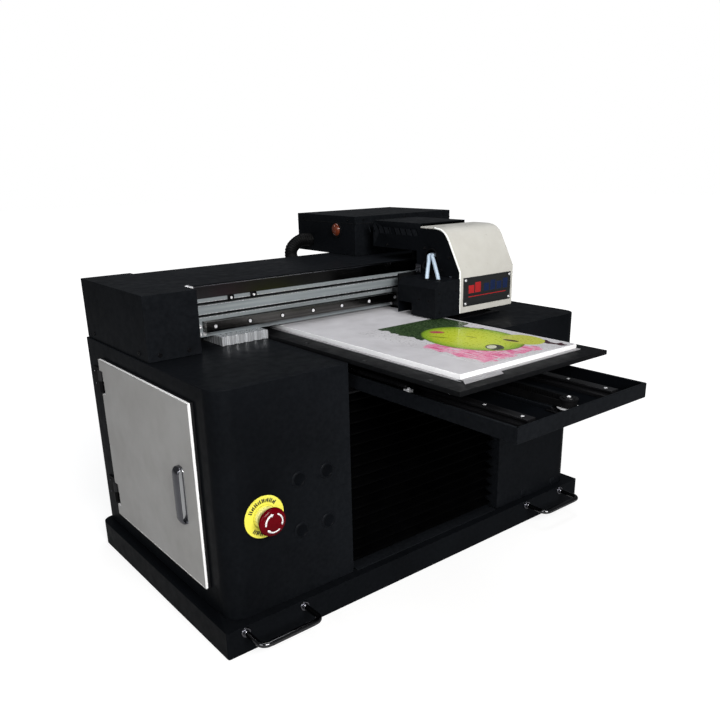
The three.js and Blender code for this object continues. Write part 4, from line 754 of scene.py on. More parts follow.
def cabinet_trim():
    bm = bmesh.new()
    r = PLUG_RADIUS
    for z in PLUG_ROWS:
        for x in PLUG_COLUMNS:
            lathe(bm, ((0, 0), (r, 0), (r, 0.8), (r - 0.8, 1.7), (r - 3, 2.2), (r - 4, 1.4), (0, 1.2)),
                  (x, left_cab[0].y, z), FRONT, 36)
    for x in (239, 323):
        lathe(bm, ((0, 0), (7, 0), (7, 1.0), (5.5, 2.0), (0, 2.2)), (x, right_cab[0].y, right_cab[0].z + 9),
              FRONT, 28)
    piece("cabinet_plugs", bm, BLACK, "frame")
    bm = bmesh.new()
    for x in (end_cover[0].x + 17.6, end_cover[1].x - 20):
        cap_screw(bm, (x, end_cover[0].y, end_cover[0].z + 9.2), FRONT, 3.2, 1.6)
    for y in (end_cover[0].y + 30, end_cover[1].y - 30):
        cap_screw(bm, (end_cover[0].x, y, end_cover[0].z + 9.2), LEFT, 3.2, 1.6)
    piece("end_cover_screws", bm, HARDWARE, "frame")
    bm = bmesh.new()
    # corner screws on the backs of the two cabinets and of the panel between them
    for cab in (left_cab, right_cab):
        for x in (cab[0].x + 14, cab[1].x - 14):
            for z in (cab[0].z + 16, cab[1].z - 16):
                cap_screw(bm, (x, cab[1].y, z), REAR, 3.2, 1.6)
    panel = box("bay_rear_panel")
    for x in (panel[0].x + 12, centre_of(panel).x, panel[1].x - 12):
        for z in (panel[0].z + 12, panel[1].z - 12):
            cap_screw(bm, (x, panel[1].y, z), REAR, 3.0, 1.5)
    piece("rear_screws", bm, HARDWARE, "frame")
    bm = bmesh.new()
    for cab in (left_cab, right_cab):
        middle = centre_of(cab).x
        for i in range(9):
            z = cab[0].z + 170 + i * 11
            outline = [(cab[1].y, z), (cab[1].y, z + 6), (cab[1].y + 2.6, z + 1.2), (cab[1].y + 2.6, z + 0.2)]
            plate(bm, outline, 0, middle - 38, middle + 38)
    piece("rear_vents", bm, BLACK, "frame", bevel=0.25)


# ---------------------------------------------------------------- gantry
RAIL_SCREWS = [-241.9 + 60 * i for i in range(10)]
STRIP_NUTS = (-206, -166)
GROOVE_LIPS = (435.6, 430.4, 417.4, 412.4, 390.6)


def gantry_trim():
    z = centre_of(rail).z
    bm = bmesh.new()
    for x in RAIL_SCREWS:
        lathe(bm, ((0, 0), (4.4, 0), (4.4, 0.12), (0, 0.12)), (x, rail[0].y, z), FRONT, 24)
    piece("rail_counterbores", bm, HARDWARE, "frame")
    bm = bmesh.new()
    for x in RAIL_SCREWS:
        lathe(bm, ((0, 0), (2.7, 0), (2.7, 0.2), (1.5, 0.24), (1.2, 0.14), (0, 0.14)), (x, rail[0].y, z),
              FRONT, 20)
    piece("rail_screws", bm, BRIGHT, "frame")
    bm = bmesh.new()
    cap_screw(bm, (beam[1].x - 28, strip[0].y, beam[1].z + 12), FRONT, 3.4, 2.2)
    for x in STRIP_NUTS:
        cap_screw(bm, (x, beam[0].y - 3.4, beam[1].z - 3.4), FRONT, 2.0, 1.2)
    left = strip[0].x + 1.5
    block(bm, (left, strip[0].y - 2.2, beam[1].z + 2), (left + 14, strip[0].y + 0.2, beam[1].z + 17), 1.6)
    cap_screw(bm, (left + 8, strip[0].y - 2.2, beam[1].z + 9), FRONT, 3.4, 1.6)
    block(bm, (left - 3, strip[0].y - 1, beam[1].z + 17), (left + 11, strip[0].y + 13, beam[1].z + 20.5), 0.8)
    cap_screw(bm, (left + 4, strip[0].y + 6, beam[1].z + 20.5), UP, 2.6, 1.6)
    piece("strip_screws", bm, BRIGHT, "frame")
    bm = bmesh.new()
    for x in STRIP_NUTS:
        block(bm, (x - 5.2, beam[0].y - 3.4, beam[1].z - 7.4), (x + 5.2, beam[0].y, beam[1].z + 1.2), 0.5)
    piece("strip_nuts", bm, HARDWARE, "frame")
    bm = bmesh.new()
    block(bm, (strip[0].x + 2, strip[0].y - 0.45, strip[1].z - 1.2),
          (strip[1].x - 1, strip[0].y + 0.4, strip[1].z - 0.1), 0.2, 1)
    piece("strip_edge", bm, SATIN, "frame")
    bm = bmesh.new()
    for x in (-262, -254, 121):
        washer(bm, (x, beam[0].y, beam[0].z + 4.5), FRONT, 3.0, 1.6, 1.0)
        cap_screw(bm, (x, beam[0].y, beam[0].z + 4.5), FRONT, 1.7, 1.2)
    for x in (-270, -262):
        cap_screw(bm, (x, beam[0].y, z), FRONT, 3.2, 3.0)
    piece("rail_end_bolts", bm, BRIGHT, "frame")
    bm = bmesh.new()
    # rounded lips that the extrusion has along each groove
    for lip in GROOVE_LIPS:
        block(bm, (beam[0].x, beam[0].y - 0.35, lip - 0.4), (beam[1].x - 21, beam[0].y + 0.2, lip + 0.4),
              0.15, 1)
    piece("beam_groove_lips", bm, MILLED, "frame")
    bm = bmesh.new()
    # hem along the hood's front and the screws in its top
    block(bm, (hood[0].x, hood[0].y, hood[1].z - 6), (hood[1].x - 2, hood[0].y + 1.8, hood[1].z - 2.2), 0.4)
    for x in (-70, 118):
        for y in (hood[0].y + 16, hood[1].y - 16):
            cap_screw(bm, (x, y, hood[1].z), UP, 2.6, 0.25)
    piece("hood_hem", bm, BLACK, "frame")
    bm = bmesh.new()
    for x in (-250, -150, -50, 50, 150, 250, 350):
        cap_screw(bm, (x, hood[1].y, hood[0].z + 12), REAR, 3.0, 1.5)
        cap_screw(bm, (x, hood[1].y, hood[1].z - 12), REAR, 3.0, 1.5)
    piece("hood_rear_screws", bm, HARDWARE, "frame")


def rear_box_trim():
    low, high = rear_box
    bm = bmesh.new()
    seam = high.z - 14
    for end in ((high.x, low.y + 0.4, seam + 1.2), (low.x + 0.4, high.y, seam + 1.2)):
        block(bm, (low.x - 0.5, low.y - 0.5, seam), end, 0.2, 1)
    piece("rear_box_seam", bm, DEEP_BLACK, "frame")
    bm = bmesh.new()
    for y in (low.y + 22, high.y - 22):
        cap_screw(bm, (low.x, y, high.z - 7), LEFT, 2.4, 1.3)
    for x in (low.x + 20, (low.x + high.x) / 2, high.x - 20):
        cap_screw(bm, (x, low.y, high.z - 7), FRONT, 2.4, 1.3)
        cap_screw(bm, (x, high.y, high.z - 7), REAR, 2.4, 0.6)
    piece("rear_box_screws", bm, HARDWARE, "frame")
    _, y, z = centre_of(box("indicator_lens"))
    bm = bmesh.new()
    washer(bm, (low.x - 0.1, y, z), LEFT, 15.6, 12.2, 2.6)
    piece("indicator_bezel", bm, HARDWARE, "frame")
    bm = bmesh.new()
    dome = [(12 * math.cos(a), 1.5 + 6.4 * math.sin(a)) for a in (math.pi / 2 * i / 8 for i in range(8))]
    lathe(bm, [(0, 0), (12, 0), *dome, (0, 7.9)], (low.x - 0.3, y, z), LEFT, 40)
    for a in turns(18):
        sweep(bm, [(low.x - out, y + r * math.cos(a), z + r * math.sin(a))
                   for out, r in ((1, 11.6), (4.5, 10.2), (7, 7))], 0.45, 6)
    piece("indicator_dome", bm, AMBER, "frame", replaces=("indicator_lens",))


def conduit():
    low, high = box("rear_conduit")
    start_x = low.x + 13
    route = curve([(start_x, hood[1].y + 0.3, low.z + 13), (start_x, hood[1].y + 14, low.z + 13.4),
                   (start_x + 1, high.y - 27, low.z + 22), (start_x + 9, high.y - 15.5, low.z + 41),
                   (start_x + 32, high.y - 13, high.z - 14), (high.x - 0.5, high.y - 13, high.z - 14)], 16)
    ridges = 26

    def ribbed(share):
        return 11.2 + 1.5 * (0.5 + 0.5 * math.cos(share * ridges * 2 * math.pi)) ** 0.6

    bm = bmesh.new()
    fine = [a + (b - a) * k / 3 for a, b in zip(route, route[1:]) for k in range(3)]
    sweep(bm, [*fine, route[-1]], ribbed, 24)
    piece("ribbed_conduit", bm, RUBBER, "frame", replaces=("rear_conduit",))
    bm = bmesh.new()
    for centre, axis in (((start_x, hood[1].y + 0.3, low.z + 13), REAR),
                         ((high.x - 0.4, high.y - 13, high.z - 14), LEFT)):
        lathe(bm, ((0, 0), (12.9, 0), (12.9, 7.4), (12.2, 8.2), (11.4, 8.4), (11.4, 12), (0, 12)), centre,
              axis, 6)
    piece("conduit_nuts", bm, PLASTIC, "frame", bevel=0.5)


def cable_chain():
    """Links along the fixed run, round the bend and back along the run that the carriage pulls."""
    low, high = box("cable_chain")
    link_pitch = 15.0
    radius = (high.z - low.z) / 2 - 6
    bend_x, bend_z = low.x + radius + 6, (low.z + high.z) / 2
    path = []
    x = low.x + 128
    while x > bend_x:
        path.append((x, low.z + 6, 0.0))
        x -= link_pitch
    for a in (math.pi * i / 10 for i in range(1, 10)):
        path.append((bend_x - radius * math.sin(a), bend_z - radius * math.cos(a), a))
    x = bend_x + 4
    while x < high.x - 8:
        path.append((x, high.z - 6, math.pi))
        x += link_pitch
    bm = bmesh.new()
    for x, z, a in path:
        link = bmesh.new()
        for y in (low.y + 0.5, high.y - 3):
            block(link, (-8.4, y, -5.2), (8.4, y + 2.5, 5.2), 1.6)
        for h in (-5.6, 4.4):
            block(link, (-3.5, low.y + 2, h), (3.5, high.y - 2, h + 1.2), 0.3)
        bmesh.ops.rotate(link, cent=(0, 0, 0), matrix=Matrix.Rotation(a, 3, "Y"), verts=link.verts)
        bmesh.ops.translate(link, vec=(x, 0, z), verts=link.verts)
        add(bm, link)
    made = piece("chain_links", bm, PLASTIC, None, replaces=("cable_chain",))
    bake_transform(made)


# ---------------------------------------------------------------- carriage
LEAD_HOLE = Vector((cover[0].x, cover[0].y + 70, cover[0].z + 89))
CHEEK_SCREWS = ((-81, 452), (-100, 475), (-40, 486.5), (60, 486), (-20, 450))


def carriage_trim():
    x = housing[0].x
    bm = bmesh.new()
    for i in range(8):
        y = housing[1].y - 21 - i * 15
        low_z, high_z = housing[1].z - 22.6, housing[1].z - 10.4
        outline = [(y + 0.8, low_z), (y + 1.9, low_z), (y + 7.9, high_z), (y + 6.8, high_z)]
        plate(bm, outline, 0, x - 1.1, x + 1.0)
    piece("louvre_lips", bm, BLACK, "carriage", bevel=0.2)
    bm = bmesh.new()
    for y, z in CHEEK_SCREWS:
        cap_screw(bm, (x, y, z), LEFT, 2.6, 1.5)
    for y in (-20, 40, 88):
        cap_screw(bm, (x + 55, y, housing[1].z), UP, 2.6, 0.4)
    piece("housing_screws", bm, HARDWARE, "carriage")
    bm = bmesh.new()
    # bracket that joins the cheek to the rail block
    block(bm, (x - 3.2, -32, 443), (x - 0.3, -18, 458), 0.6)
    for z in (447, 454):
        cap_screw(bm, (x - 3.2, -25, z), LEFT, 2.2, 1.6)
    block(bm, (x - 4.2, -109, 437), (x - 0.2, -103, 445), 0.8)
    piece("cheek_bracket", bm, SATIN, "carriage")
    bm = bmesh.new()
    washer(bm, (x, LEAD_HOLE.y, LEAD_HOLE.z), LEFT, 15.4, 13.6, 1.2)
    piece("lead_hole_grommet", bm, RUBBER, "carriage")
    bm = bmesh.new()
    for px in (name_plate[0].x + 4.5, name_plate[1].x - 4.5):
        for pz in (name_plate[0].z + 4.5, name_plate[1].z - 4.5):
            cap_screw(bm, (px, name_plate[0].y, pz), FRONT, 2.3, 0.9)
    piece("nameplate_screws", bm, BRIGHT, "carriage")
    # plain bars on the nameplate, as shares of its width and height: left, right, bottom, top
    a, b = name_plate
    wide, tall = b.x - a.x, b.z - a.z
    red = [(0.10, 0.215, 0.44, 0.72), (0.235, 0.35, 0.44, 0.80), (0.10, 0.9, 0.305, 0.335)]
    blue = [(at, at + 0.105, 0.44, top) for at,
            top in ((0.42, 0.72), (0.555, 0.80), (0.69, 0.72), (0.825, 0.80))]
    for look, name, bars in ((LOGO_RED, "plate_red", red), (LOGO_BLUE, "plate_blue", blue)):
        bm = bmesh.new()
        for u0, u1, v0, v1 in bars:
            block(bm, (a.x + wide * u0, a.y - 0.12, a.z + tall * v0),
                  (a.x + wide * u1, a.y + 0.1, a.z + tall * v1),
                  0.03, 1)
        piece(name, bm, look, "carriage")
    bm = bmesh.new()
    # rolled edge down the cover's open left side, near-white as a painted highlight
    corners = [v.co / MM for v in NODES["carriage_front_cover"].data.vertices]
    spots = sorted({(round(c.y, 2), round(c.z, 2)) for c in corners if abs(c.x - cover[0].x) < 0.01})
    outer = []
    for y, zz in spots:
        while len(outer) > 1:
            (y0, z0), (y1, z1) = outer[-2:]
            if (y1 - y0) * (zz - z0) < (z1 - z0) * (y - y0):
                break
            outer.pop()
        outer.append((y, zz))
    outer = [(cover[0].y, cover[0].z + 1),
             *[q for q in outer if q[1] > cover[0].z + 20 and q[0] < cover[1].y - 4]]
    path = []
    for i, (y, zz) in enumerate(outer):
        before, after = outer[max(i - 1, 0)], outer[min(i + 1, len(outer) - 1)]
        dy, dz = after[0] - before[0], after[1] - before[1]
        size = math.hypot(dy, dz)
        path.append((cover[0].x + 0.5, y + 1.3 * dz / size, zz - 1.3 * dy / size))
    sweep(bm, path, 1.5, 12)
    piece("cover_edge_bead", bm, COVER_EDGE_HIGHLIGHT, "carriage")
    bm = bmesh.new()
    for y in (lamp[0].y + 16, lamp[0].y + 38):
        cap_screw(bm, (lamp[0].x, y, lamp[0].z + 28), LEFT, 1.8, 0.8)
    for lx in (lamp[0].x + 10, lamp[1].x - 10):
        cap_screw(bm, (lx, lamp[0].y, lamp[0].z + 10), FRONT, 2.0, 0.8)
        cap_screw(bm, (lx, lamp[0].y, lamp[1].z - 18), FRONT, 2.0, 0.8)
    piece("lamp_screws", bm, HARDWARE, "carriage")
    bm = bmesh.new()
    led = box("uv_led_module")
    block(bm, (led[0].x + 8, led[0].y + 6, led[0].z - 0.6), (led[1].x - 8, led[1].y - 6, led[0].z + 0.5), 0.3)
    for i in range(4):
        cx = led[0].x + 10 + i * 6.2
        for j in range(3):
            cy = led[0].y + 10 + j * 11
            lathe(bm, ((0, 0), (2.4, 0), (2.0, 0.7), (0, 1.1)), (cx, cy, led[0].z - 0.6), DOWN, 12)
    piece("uv_window", bm, GREEN_GLASS, "carriage")
    bm = bmesh.new()
    head = box("print_head")
    for i in range(4):
        cx = head[0].x + 22 + i * 17
        lathe(bm, ((0, 0), (4.6, 0), (4.6, 6), (2.2, 8), (2.2, 13), (0, 13)),
              (cx, head[0].y + 30, head[1].z), UP, 20)
    piece("head_ink_ports", bm, PLASTIC, "carriage")
    bm = bmesh.new()
    block(bm, (head[0].x + 18, head[0].y + 6, head[0].z - 0.4),
          (head[1].x - 14, head[0].y + 78, head[0].z + 1), 0.3)
    piece("head_nozzle_plate", bm, BRIGHT, "carriage")


def lamp_leads():
    ends = ((lamp[0].x + 17, lamp[0].y + 38, 6), (lamp[0].x + 23, lamp[0].y + 15, -5))
    hole = LEAD_HOLE
    top = lamp[1].z
    bm = bmesh.new()
    for ex, ey, side in ends:
        start, end = hole + Vector((-1, 0.7 * side, 3)), Vector((ex, ey, top))
        route = [start + Vector((13, 0, 1)), start, *[start + (end - start) * t for t in (0.22, 0.5, 0.8)],
                 end + Vector((-1, -1, -4)), end + Vector((-1.5, -1.5, -7))]
        sweep(bm, curve(route, 10), 3.3, 18)
    piece("lamp_leads", bm, TUBE, "carriage",
          replaces=("lamp_tube_front", "lamp_tube_rear"))
    bm = bmesh.new()
    for ex, ey, side in ends:
        lathe(bm, ((0, 0), (4.9, 0), (4.9, 0.9), (4.3, 1.7), (3.5, 1.9), (0, 1.9)), (ex, ey, top), UP, 24)
    piece("lead_collars", bm, HARDWARE, "carriage")
    bm = bmesh.new()
    route = curve([(hole.x + 10, hole.y + 9, hole.z - 6), (hole.x - 3, hole.y + 9, hole.z - 6),
                   (hole.x - 14, hole.y + 6, hole.z - 16), (hole.x - 14, hole.y - 14, top + 8),
                   (hole.x - 13, hole.y - 22, top - 1)], 10)
    sweep(bm, route, 1.5, 10)
    piece("lamp_signal_lead", bm, RUBBER, "carriage")


# ---------------------------------------------------------------- table, rails, belt
def table_trim():
    bm = bmesh.new()
    for side in ("left", "right"):
        low, high = box(f"y_rail_{side}")
        for y in range(-463, math.ceil(high.y - 6), 60):
            lathe(bm, ((0, 0), (2.4, 0), (2.2, 0.24), (1.1, 0.3), (0, 0.3)),
                  ((low.x + high.x) / 2, y, high.z), UP, 18)
    piece("bed_rail_screws", bm, BRIGHT, "lift")
    idler = box("y_idler_pulley")
    x, y, _ = centre_of(idler)
    bm = bmesh.new()
    lathe(bm, ((0, 0), (12, 0), (12, 1.2), (11.4, 1.9), (8.5, 1.9), (8.0, 3.2), (5, 3.4), (4.6, 2.6),
               (0, 2.6)),
          (x, y, idler[1].z + 0.2), UP, 36)
    piece("idler_cap", bm, HARDWARE, "lift")
    bm = bmesh.new()
    cap_screw(bm, (x, y, idler[1].z + 2.6), UP, 2.6, 1.8)
    washer(bm, (x, y, idler[0].z - 1.6), UP, 14.4, 4.3, 1.3)
    piece("idler_washer", bm, BRIGHT, "lift")
    bm = bmesh.new()
    block(bm, (x - 17, y - 12, tray[0].z + 2.7), (x + 17, y + 22, tray[0].z + 5.0), 0.8)
    for dx in (-12, 12):
        cap_screw(bm, (x + dx, y + 15, tray[0].z + 5.0), UP, 3.0, 2.4)
    piece("idler_bracket", bm, HARDWARE, "lift")
    bm = bmesh.new()
    belt = box("y_belt")
    teeth = 190
    for i in range(teeth):
        ty = belt[0].y + 16 + i * (belt[1].y - belt[0].y - 32) / teeth
        for bx in (belt[0].x + 1.5, belt[1].x - 1.5):
            block(bm, (bx - 0.45, ty, belt[0].z + 0.4), (bx + 0.45, ty + 1.8, belt[1].z - 0.4), 0, 1)
    piece("bed_belt_teeth", bm, RUBBER, "lift")
    bm = bmesh.new()
    # hem that folds over the tray's rim
    rim = tray[0].z + 20
    x0, y0, x1, y1 = tray[0].x + 0.4, tray[0].y + 0.4, tray[1].x - 0.4, tray[1].y - 0.4
    wide = 2.8
    for ax, ay, bx, by in ((x0, y0, x0 + wide, y1), (x1 - wide, y0, x1, y1), (x0, y0, x1, y0 + wide),
                           (x0, y1 - wide, x1, y1)):
        block(bm, (ax, ay, rim - 1.0), (bx, by, rim + 0.35), 0.3)
    piece("tray_hem", bm, BLACK, "lift")
    bm = bmesh.new()
    # round-ended guide bar along the tray's left side
    bar_x = tray[0].x + 7
    sweep(bm, [(bar_x, y, rim + 5) for y in (-301, -296, -100, 60)], 3.6, 16)
    lathe(bm, ((0, 0), (3.6, 0), (3.2, 1.8), (2.0, 3.1), (0, 3.6)), (bar_x, -301, rim + 5), FRONT, 16)
    piece("guide_bar", bm, HARDWARE, "lift")
    bm = bmesh.new()
    block(bm, (bar_x - 4.5, -310, rim - 2), (bar_x + 4.5, -300, rim + 2.5), 0.8)
    cap_screw(bm, (bar_x, -306, rim + 2.5), UP, 2.4, 1.4)
    block(bm, (bar_x - 4.5, 40, rim - 2), (bar_x + 4.5, 52, rim + 2.5), 0.8)
    piece("guide_bar_feet", bm, BRIGHT, "lift")


def platform_trim():
    bm = bmesh.new()
    low, high = platform
    for y in (low.y + 60, low.y + 190, low.y + 330, low.y + 460):
        for x in (low.x + 10, high.x - 10):
            lathe(bm, ((0, 0), (3.6, 0), (3.6, 0.1), (2, 0.2), (1.8, 0.06), (0, 0.06)), (x, y, high.z), UP,
                  18)
    piece("platform_screws", bm, HARDWARE, "platform")
    bm = bmesh.new()
    # stop along the platform's edge that holds the board
    block(bm, (board[1].x + 1.4, board[0].y + 30, high.z), (board[1].x + 4.2, board[1].y - 30, high.z + 2.4),
          0.5)
    piece("board_guides", bm, DEEP_BLACK, "platform")
    bm = bmesh.new()
    # grey sheet under the board, showing along its left and front edges, with a longer corner tab
    x0, y0, top = board[0].x, board[0].y, high.z
    block(bm, (x0 - 5.5, y0 - 6.5, top), (board[1].x + 1, y0 - 0.3, top + 1.3), 0.3)
    block(bm, (x0 - 5.5, y0 - 6.5, top), (x0 - 0.3, board[1].y - 20, top + 1.3), 0.3)
    piece("board_backing", bm, LAYER, "platform")
    bm = bmesh.new()
    plate(bm, [(x0 - 8, y0 - 16), (x0 + 62, y0 - 16), (x0 + 68, y0 - 6.7), (x0 - 2, y0 - 6.7)], 2, top,
          top + 0.9)
    piece("backing_tab", bm, LAYER, "platform", bevel=0.2)
    bm = bmesh.new()
    block(bm, (board[0].x - 0.15, board[0].y - 0.15, board[0].z),
          (board[1].x + 0.15, board[1].y + 0.15, board[1].z - 0.02), 0.35)
    piece("board_core", bm, BOARD_EDGE, "platform", replaces=("print_board",))
    bm = bmesh.new()
    block(bm, (board[0].x + 0.8, board[0].y + 0.8, board[1].z - 0.1),
          (board[1].x - 0.8, board[1].y - 0.8, board[1].z + 0.08), 0.04, 1)
    piece("board_face", bm, BOARD, "platform")


def picture_material(x0, x1, y0, y1):
    """A generic printed picture: dark foliage, a yellow-green oval form and loose pink strokes on white."""
    m = Shader("printed_picture", 0.3, spec=0.4)
    x, y, _ = m.axes()
    u = m.spread(x, 0, 1, x0 * MM, x1 * MM)
    v = m.spread(y, 0, 1, y0 * MM, y1 * MM)
    wobble = m.math("MULTIPLY", m.math("SUBTRACT", m.noise(55, 3), 0.5), 0.16)
    # the paper is the board face's greyed white, painted shade as on the face
    paper = m.ramp(m.noise(22, 6, 0.6), ((0.3, (0.50, 0.49, 0.51)), (0.6, (0.58, 0.57, 0.59))))
    leaves = m.ramp(m.noise(420, 6, 0.8), ((0.36, (0.003, 0.007, 0.003)), (0.52, (0.020, 0.045, 0.014)),
                                          (0.66, (0.13, 0.21, 0.08))))
    uw = m.math("ADD", u, wobble)
    vw = m.math("ADD", v, wobble)
    green_area = m.math("MULTIPLY", m.math("GREATER_THAN", vw, m.math("MULTIPLY_ADD", u, 0.16, 0.58)),
                        m.math("GREATER_THAN", uw, 0.22))
    colour = m.mix(green_area, paper, leaves)
    dark = m.math("MULTIPLY", m.math("LESS_THAN", vw, 0.72),
                  m.math("LESS_THAN", m.math("ABSOLUTE",
                                             m.math("SUBTRACT", uw, m.math("MULTIPLY_ADD", v, -0.12, 0.93))),
                         0.03))
    colour = m.mix(dark, colour, (0.035, 0.006, 0.012))
    streaks = m.noise(300, 3, 0.5, (1, 0.12, 1))
    pink = m.ramp(streaks, ((0.35, (0.62, 0.60, 0.62)), (0.5, (0.72, 0.22, 0.38)),
                            (0.66, (0.55, 0.05, 0.18))))
    pink_area = m.math("MULTIPLY", m.math("LESS_THAN", vw, 0.50),
                       m.math("LESS_THAN", m.math("ADD", uw, m.math(
        "MULTIPLY", v, 0.7)), 0.78))
    pink_area = m.math("MULTIPLY", pink_area, m.math("GREATER_THAN", vw, 0.05))
    pink_area = m.math("MULTIPLY", pink_area, m.math("GREATER_THAN", uw, 0.06))
    colour = m.mix(pink_area, colour, pink)

    def oval(cu, cv, ru, rv, tilt):
        du, dv = m.math("SUBTRACT", u, cu), m.math("SUBTRACT", v, cv)
        c, s = math.cos(tilt), math.sin(tilt)
        a = m.math("ADD", m.math("MULTIPLY", du, c), m.math("MULTIPLY", dv, s))
        b = m.math("SUBTRACT", m.math("MULTIPLY", dv, c), m.math("MULTIPLY", du, s))
        a, b = m.math("DIVIDE", a, ru), m.math("DIVIDE", b, rv)
        return m.math("ADD", m.math("MULTIPLY", a, a), m.math("MULTIPLY", b, b))

    body = oval(0.57, 0.46, 0.36, 0.33, 0.15)
    shade = m.ramp(body, ((0.0, (0.52, 0.60, 0.03)), (0.55, (0.40, 0.50, 0.03)), (0.9, (0.20, 0.34, 0.02)),
                          (1.0, (0.06, 0.10, 0.01))))
    colour = m.mix(m.math("LESS_THAN", body, 1.0), colour, shade)
    tail = oval(0.84, 0.24, 0.15, 0.13, 0.2)
    colour = m.mix(m.math("LESS_THAN", m.math("ADD", tail, wobble), 1.0), colour, (0.45, 0.48, 0.06))
    for cu, cv, ru, rv, tilt, tint in ((0.52, 0.70, 0.055, 0.030, -0.5, (0.42, 0.04, 0.10)),
                                       (0.47, 0.23, 0.085, 0.055, 0.3, (0.015, 0.02, 0.006)),
                                       (0.46, 0.245, 0.055, 0.028, 0.3, (0.55, 0.56, 0.42)),
                                       (0.74, 0.27, 0.025, 0.050, 0.3, (0.05, 0.03, 0.006)),
                                       (0.40, 0.60, 0.012, 0.060, 0.6, (0.16, 0.20, 0.01)),
                                       (0.60, 0.48, 0.010, 0.040, 0.2, (0.16, 0.20, 0.01))):
        spot = oval(cu, cv, ru, rv, tilt)
        colour = m.mix(m.math("LESS_THAN", spot, 1.0), colour, tint)
    m.colour(colour)
    m.roughness(m.spread(m.noise(200, 3), 0.22, 0.4))
    m.bump((m.noise(1200, 2), 0.06, 0.1))
    return m.material


def printed_picture():
    x0, x1, y0, y1 = board[0].x + 55, board[1].x - 5, board[0].y + 5, board[0].y + 271
    bm = bmesh.new()
    block(bm, (x0, y0, board[1].z + 0.02), (x1, y1, board[1].z + 0.2), 0.03, 1)
    piece("printed_picture", bm, picture_material(x0, x1, y0, y1), "platform")


def bellows():
    low, high = box("front_bellows")
    folds, pitch = 16, (high.z - low.z - 9) / 16
    tip, valley = low.y + 12.6, low.y + 32
    rows = []
    for i in range(folds * 10 + 1):
        t = i / 10
        phase = abs((t % 1) - 0.5) * 2
        soft = phase ** 0.82
        z = low.z + 3 + pitch * t + 1.0 * math.sin(2 * math.pi * t) * (1 - soft) * 0.5
        rows.append((tip + (valley - tip) * soft, z))
    bm = bmesh.new()
    grid = []
    for r, (y, z) in enumerate(rows):
        line = []
        for across in (k / 12 for k in range(13)):
            belly = math.sin(math.pi * across)
            sag = -0.9 * belly * math.sin(math.pi * r / len(rows))
            line.append(bm.verts.new((low.x + (high.x - low.x) * across, y - 0.8 * belly, z + sag)))
        grid.append(line)
    skin(bm, grid, closed=False)
    made = piece("bellows_curtain", bm, BELLOWS, "frame", replaces=("front_bellows",))
    solid = made.modifiers.new("thick", "SOLIDIFY")
    solid.thickness = 1.2 * MM
    solid.offset = -1
    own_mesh(made)
    bm = bmesh.new()
    block(bm, (low.x, low.y, low.z), (high.x, low.y + 34, low.z + 2.2), 0.6)
    piece("bellows_lip", bm, BLACK, "frame")
    bm = bmesh.new()
    block(bm, (low.x, low.y + 11, high.z - 3), (high.x, low.y + 34, high.z), 0.6)
    piece("bellows_top_strip", bm, HARDWARE, "lift")


# ---------------------------------------------------------------- insides and rear
def inside_trim():
    low, high = box("power_supply")
    bm = bmesh.new()
    for i in range(7):
        block(bm, (low.x + 12 + i * 12, low.y - 0.6, low.z + 12),
              (low.x + 20 + i * 12, low.y + 3, low.z + 20), 0.8)
    piece("supply_terminals", bm, HARDWARE, "frame")
    low, high = box("control_board")
    bm = bmesh.new()
    for i in range(5):
        block(bm, (low.x + 78, low.y + 3, low.z + 20 + i * 30),
              (low.x + 104, low.y + 9.4, low.z + 38 + i * 30), 0.6)
    for i in range(6):
        lathe(bm, ((0, 0), (4, 0), (4, 7), (3.4, 7.8), (0, 7.8)),
              (low.x + 8, low.y + 9, low.z + 24 + i * 26), FRONT, 16)
    piece("board_parts", bm, PLASTIC, "frame")
    inlet = box("power_inlet")
    x, _, z = centre_of(inlet)
    bm = bmesh.new()
    for dx, dz in ((-7, -2), (7, -2), (0, 4)):
        block(bm, (x + dx - 1, inlet[1].y - 16, z + dz - 2.4), (x + dx + 1, inlet[1].y - 5, z + dz + 2.4),
              0.3)
    for dx in (-27, 27):
        cap_screw(bm, (x + dx, inlet[1].y, z), REAR, 2.6, 1.4)
    piece("inlet_pins", bm, BRIGHT, "frame")
    low, high = box("capping_station")
    bm = bmesh.new()
    block(bm, (low.x + 21, low.y + 34, low.z + 31), (high.x - 21, high.y - 16, low.z + 33), 0.4)
    piece("cap_foam", bm, RUBBER, "frame")


lift_handle("left")
lift_handle("right")
for make in (door_handle, door_details, emergency_stop, cabinet_trim, gantry_trim, rear_box_trim, conduit,
             cable_chain,
             carriage_trim, lamp_leads, table_trim, platform_trim, printed_picture, bellows, inside_trim):
    make()


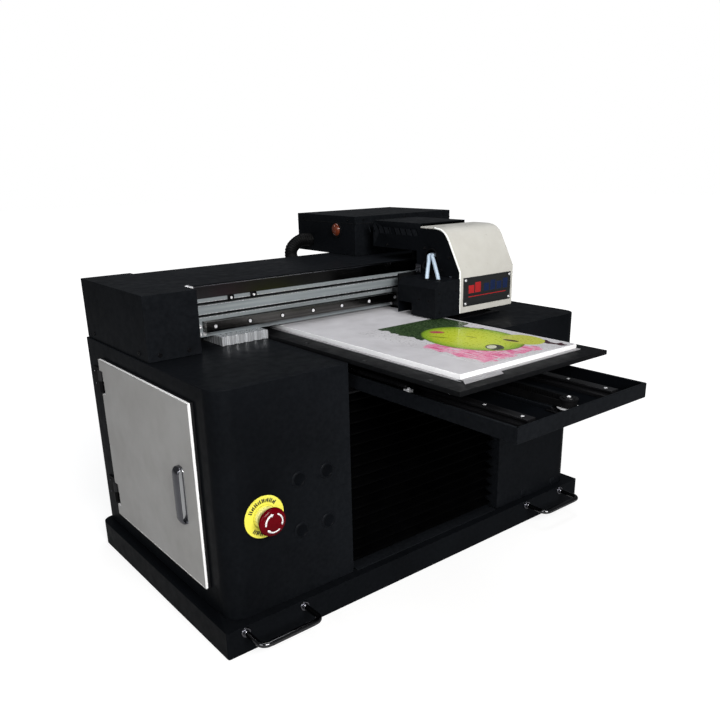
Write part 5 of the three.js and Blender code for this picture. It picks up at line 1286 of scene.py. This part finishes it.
# ---------------------------------------------------------------- stage
def stage():
    m = Shader("floor", 0.8, spec=0.2)
    m.colour(m.ramp(m.noise(1.5, 2), ((0.3, (0.36, 0.36, 0.36)), (0.7, (0.38, 0.38, 0.38)))))
    x, y, _ = m.axes()
    away = m.math("SQRT", m.math("ADD", m.math("MULTIPLY", x, x), m.math("MULTIPLY", y, y)))
    path = m.tree.nodes.new("ShaderNodeLightPath").outputs["Is Camera Ray"]
    m.bsdf.inputs["Emission Color"].default_value = (1, 1, 1, 1)
    m.feed(m.bsdf.inputs["Emission Strength"],
           m.math("MULTIPLY_ADD", path, m.spread(away, 0.70, 1.0, 0.55, 1.7), 0.02))
    mesh = bpy.data.meshes.new("floor")
    half = 12.0
    mesh.from_pydata([(-half, -half, -0.0005), (half, -half, -0.0005), (half, half, -0.0005),
                      (-half, half, -0.0005)],
                     [], [(0, 1, 2, 3)])
    floor = bpy.data.objects.new("floor", mesh)
    floor.data.materials.append(m.material)
    scene.collection.objects.link(floor)


def area_light(name, place, target, size, power, colour=(1, 1, 1)):
    data = bpy.data.lights.new(name, "AREA")
    data.shape = "RECTANGLE"
    data.size, data.size_y = size
    data.energy = power
    data.color = colour
    lamp_object = bpy.data.objects.new(name, data)
    lamp_object.location = place
    lamp_object.rotation_euler = (Vector(target) - Vector(place)).to_track_quat("-Z", "Y").to_euler()
    scene.collection.objects.link(lamp_object)


def world():
    made = bpy.data.worlds.new("studio")
    made.use_nodes = True
    tree = made.node_tree
    tree.nodes.clear()
    out = tree.nodes.new("ShaderNodeOutputWorld")
    seen = tree.nodes.new("ShaderNodeBackground")
    seen.inputs[0].default_value = (1, 1, 1, 1)
    seen.inputs[1].default_value = 1.0
    lit = tree.nodes.new("ShaderNodeBackground")
    lit.inputs[0].default_value = (0.93, 0.96, 1, 1)
    lit.inputs[1].default_value = 0.10
    path = tree.nodes.new("ShaderNodeLightPath")
    mixed = tree.nodes.new("ShaderNodeMixShader")
    tree.links.new(path.outputs["Is Camera Ray"], mixed.inputs[0])
    tree.links.new(lit.outputs[0], mixed.inputs[1])
    tree.links.new(seen.outputs[0], mixed.inputs[2])
    tree.links.new(mixed.outputs[0], out.inputs[0])
    scene.world = made


stage()
world()
area_light("key", (-0.75, -2.5, 1.55), (0.0, 0.0, 0.3), (1.5, 1.1), 88, (1.0, 0.99, 0.97))
area_light("fill", (-2.8, -0.9, 1.3), (-0.2, 0.0, 0.25), (1.4, 1.4), 22, (0.97, 0.98, 1.0))
area_light("top", (0.3, 0.5, 2.8), (0.1, -0.1, 0.4), (1.8, 1.8), 33, (0.97, 0.98, 1.0))
scene.view_settings.view_transform = "Standard"
scene.view_settings.look = "None"
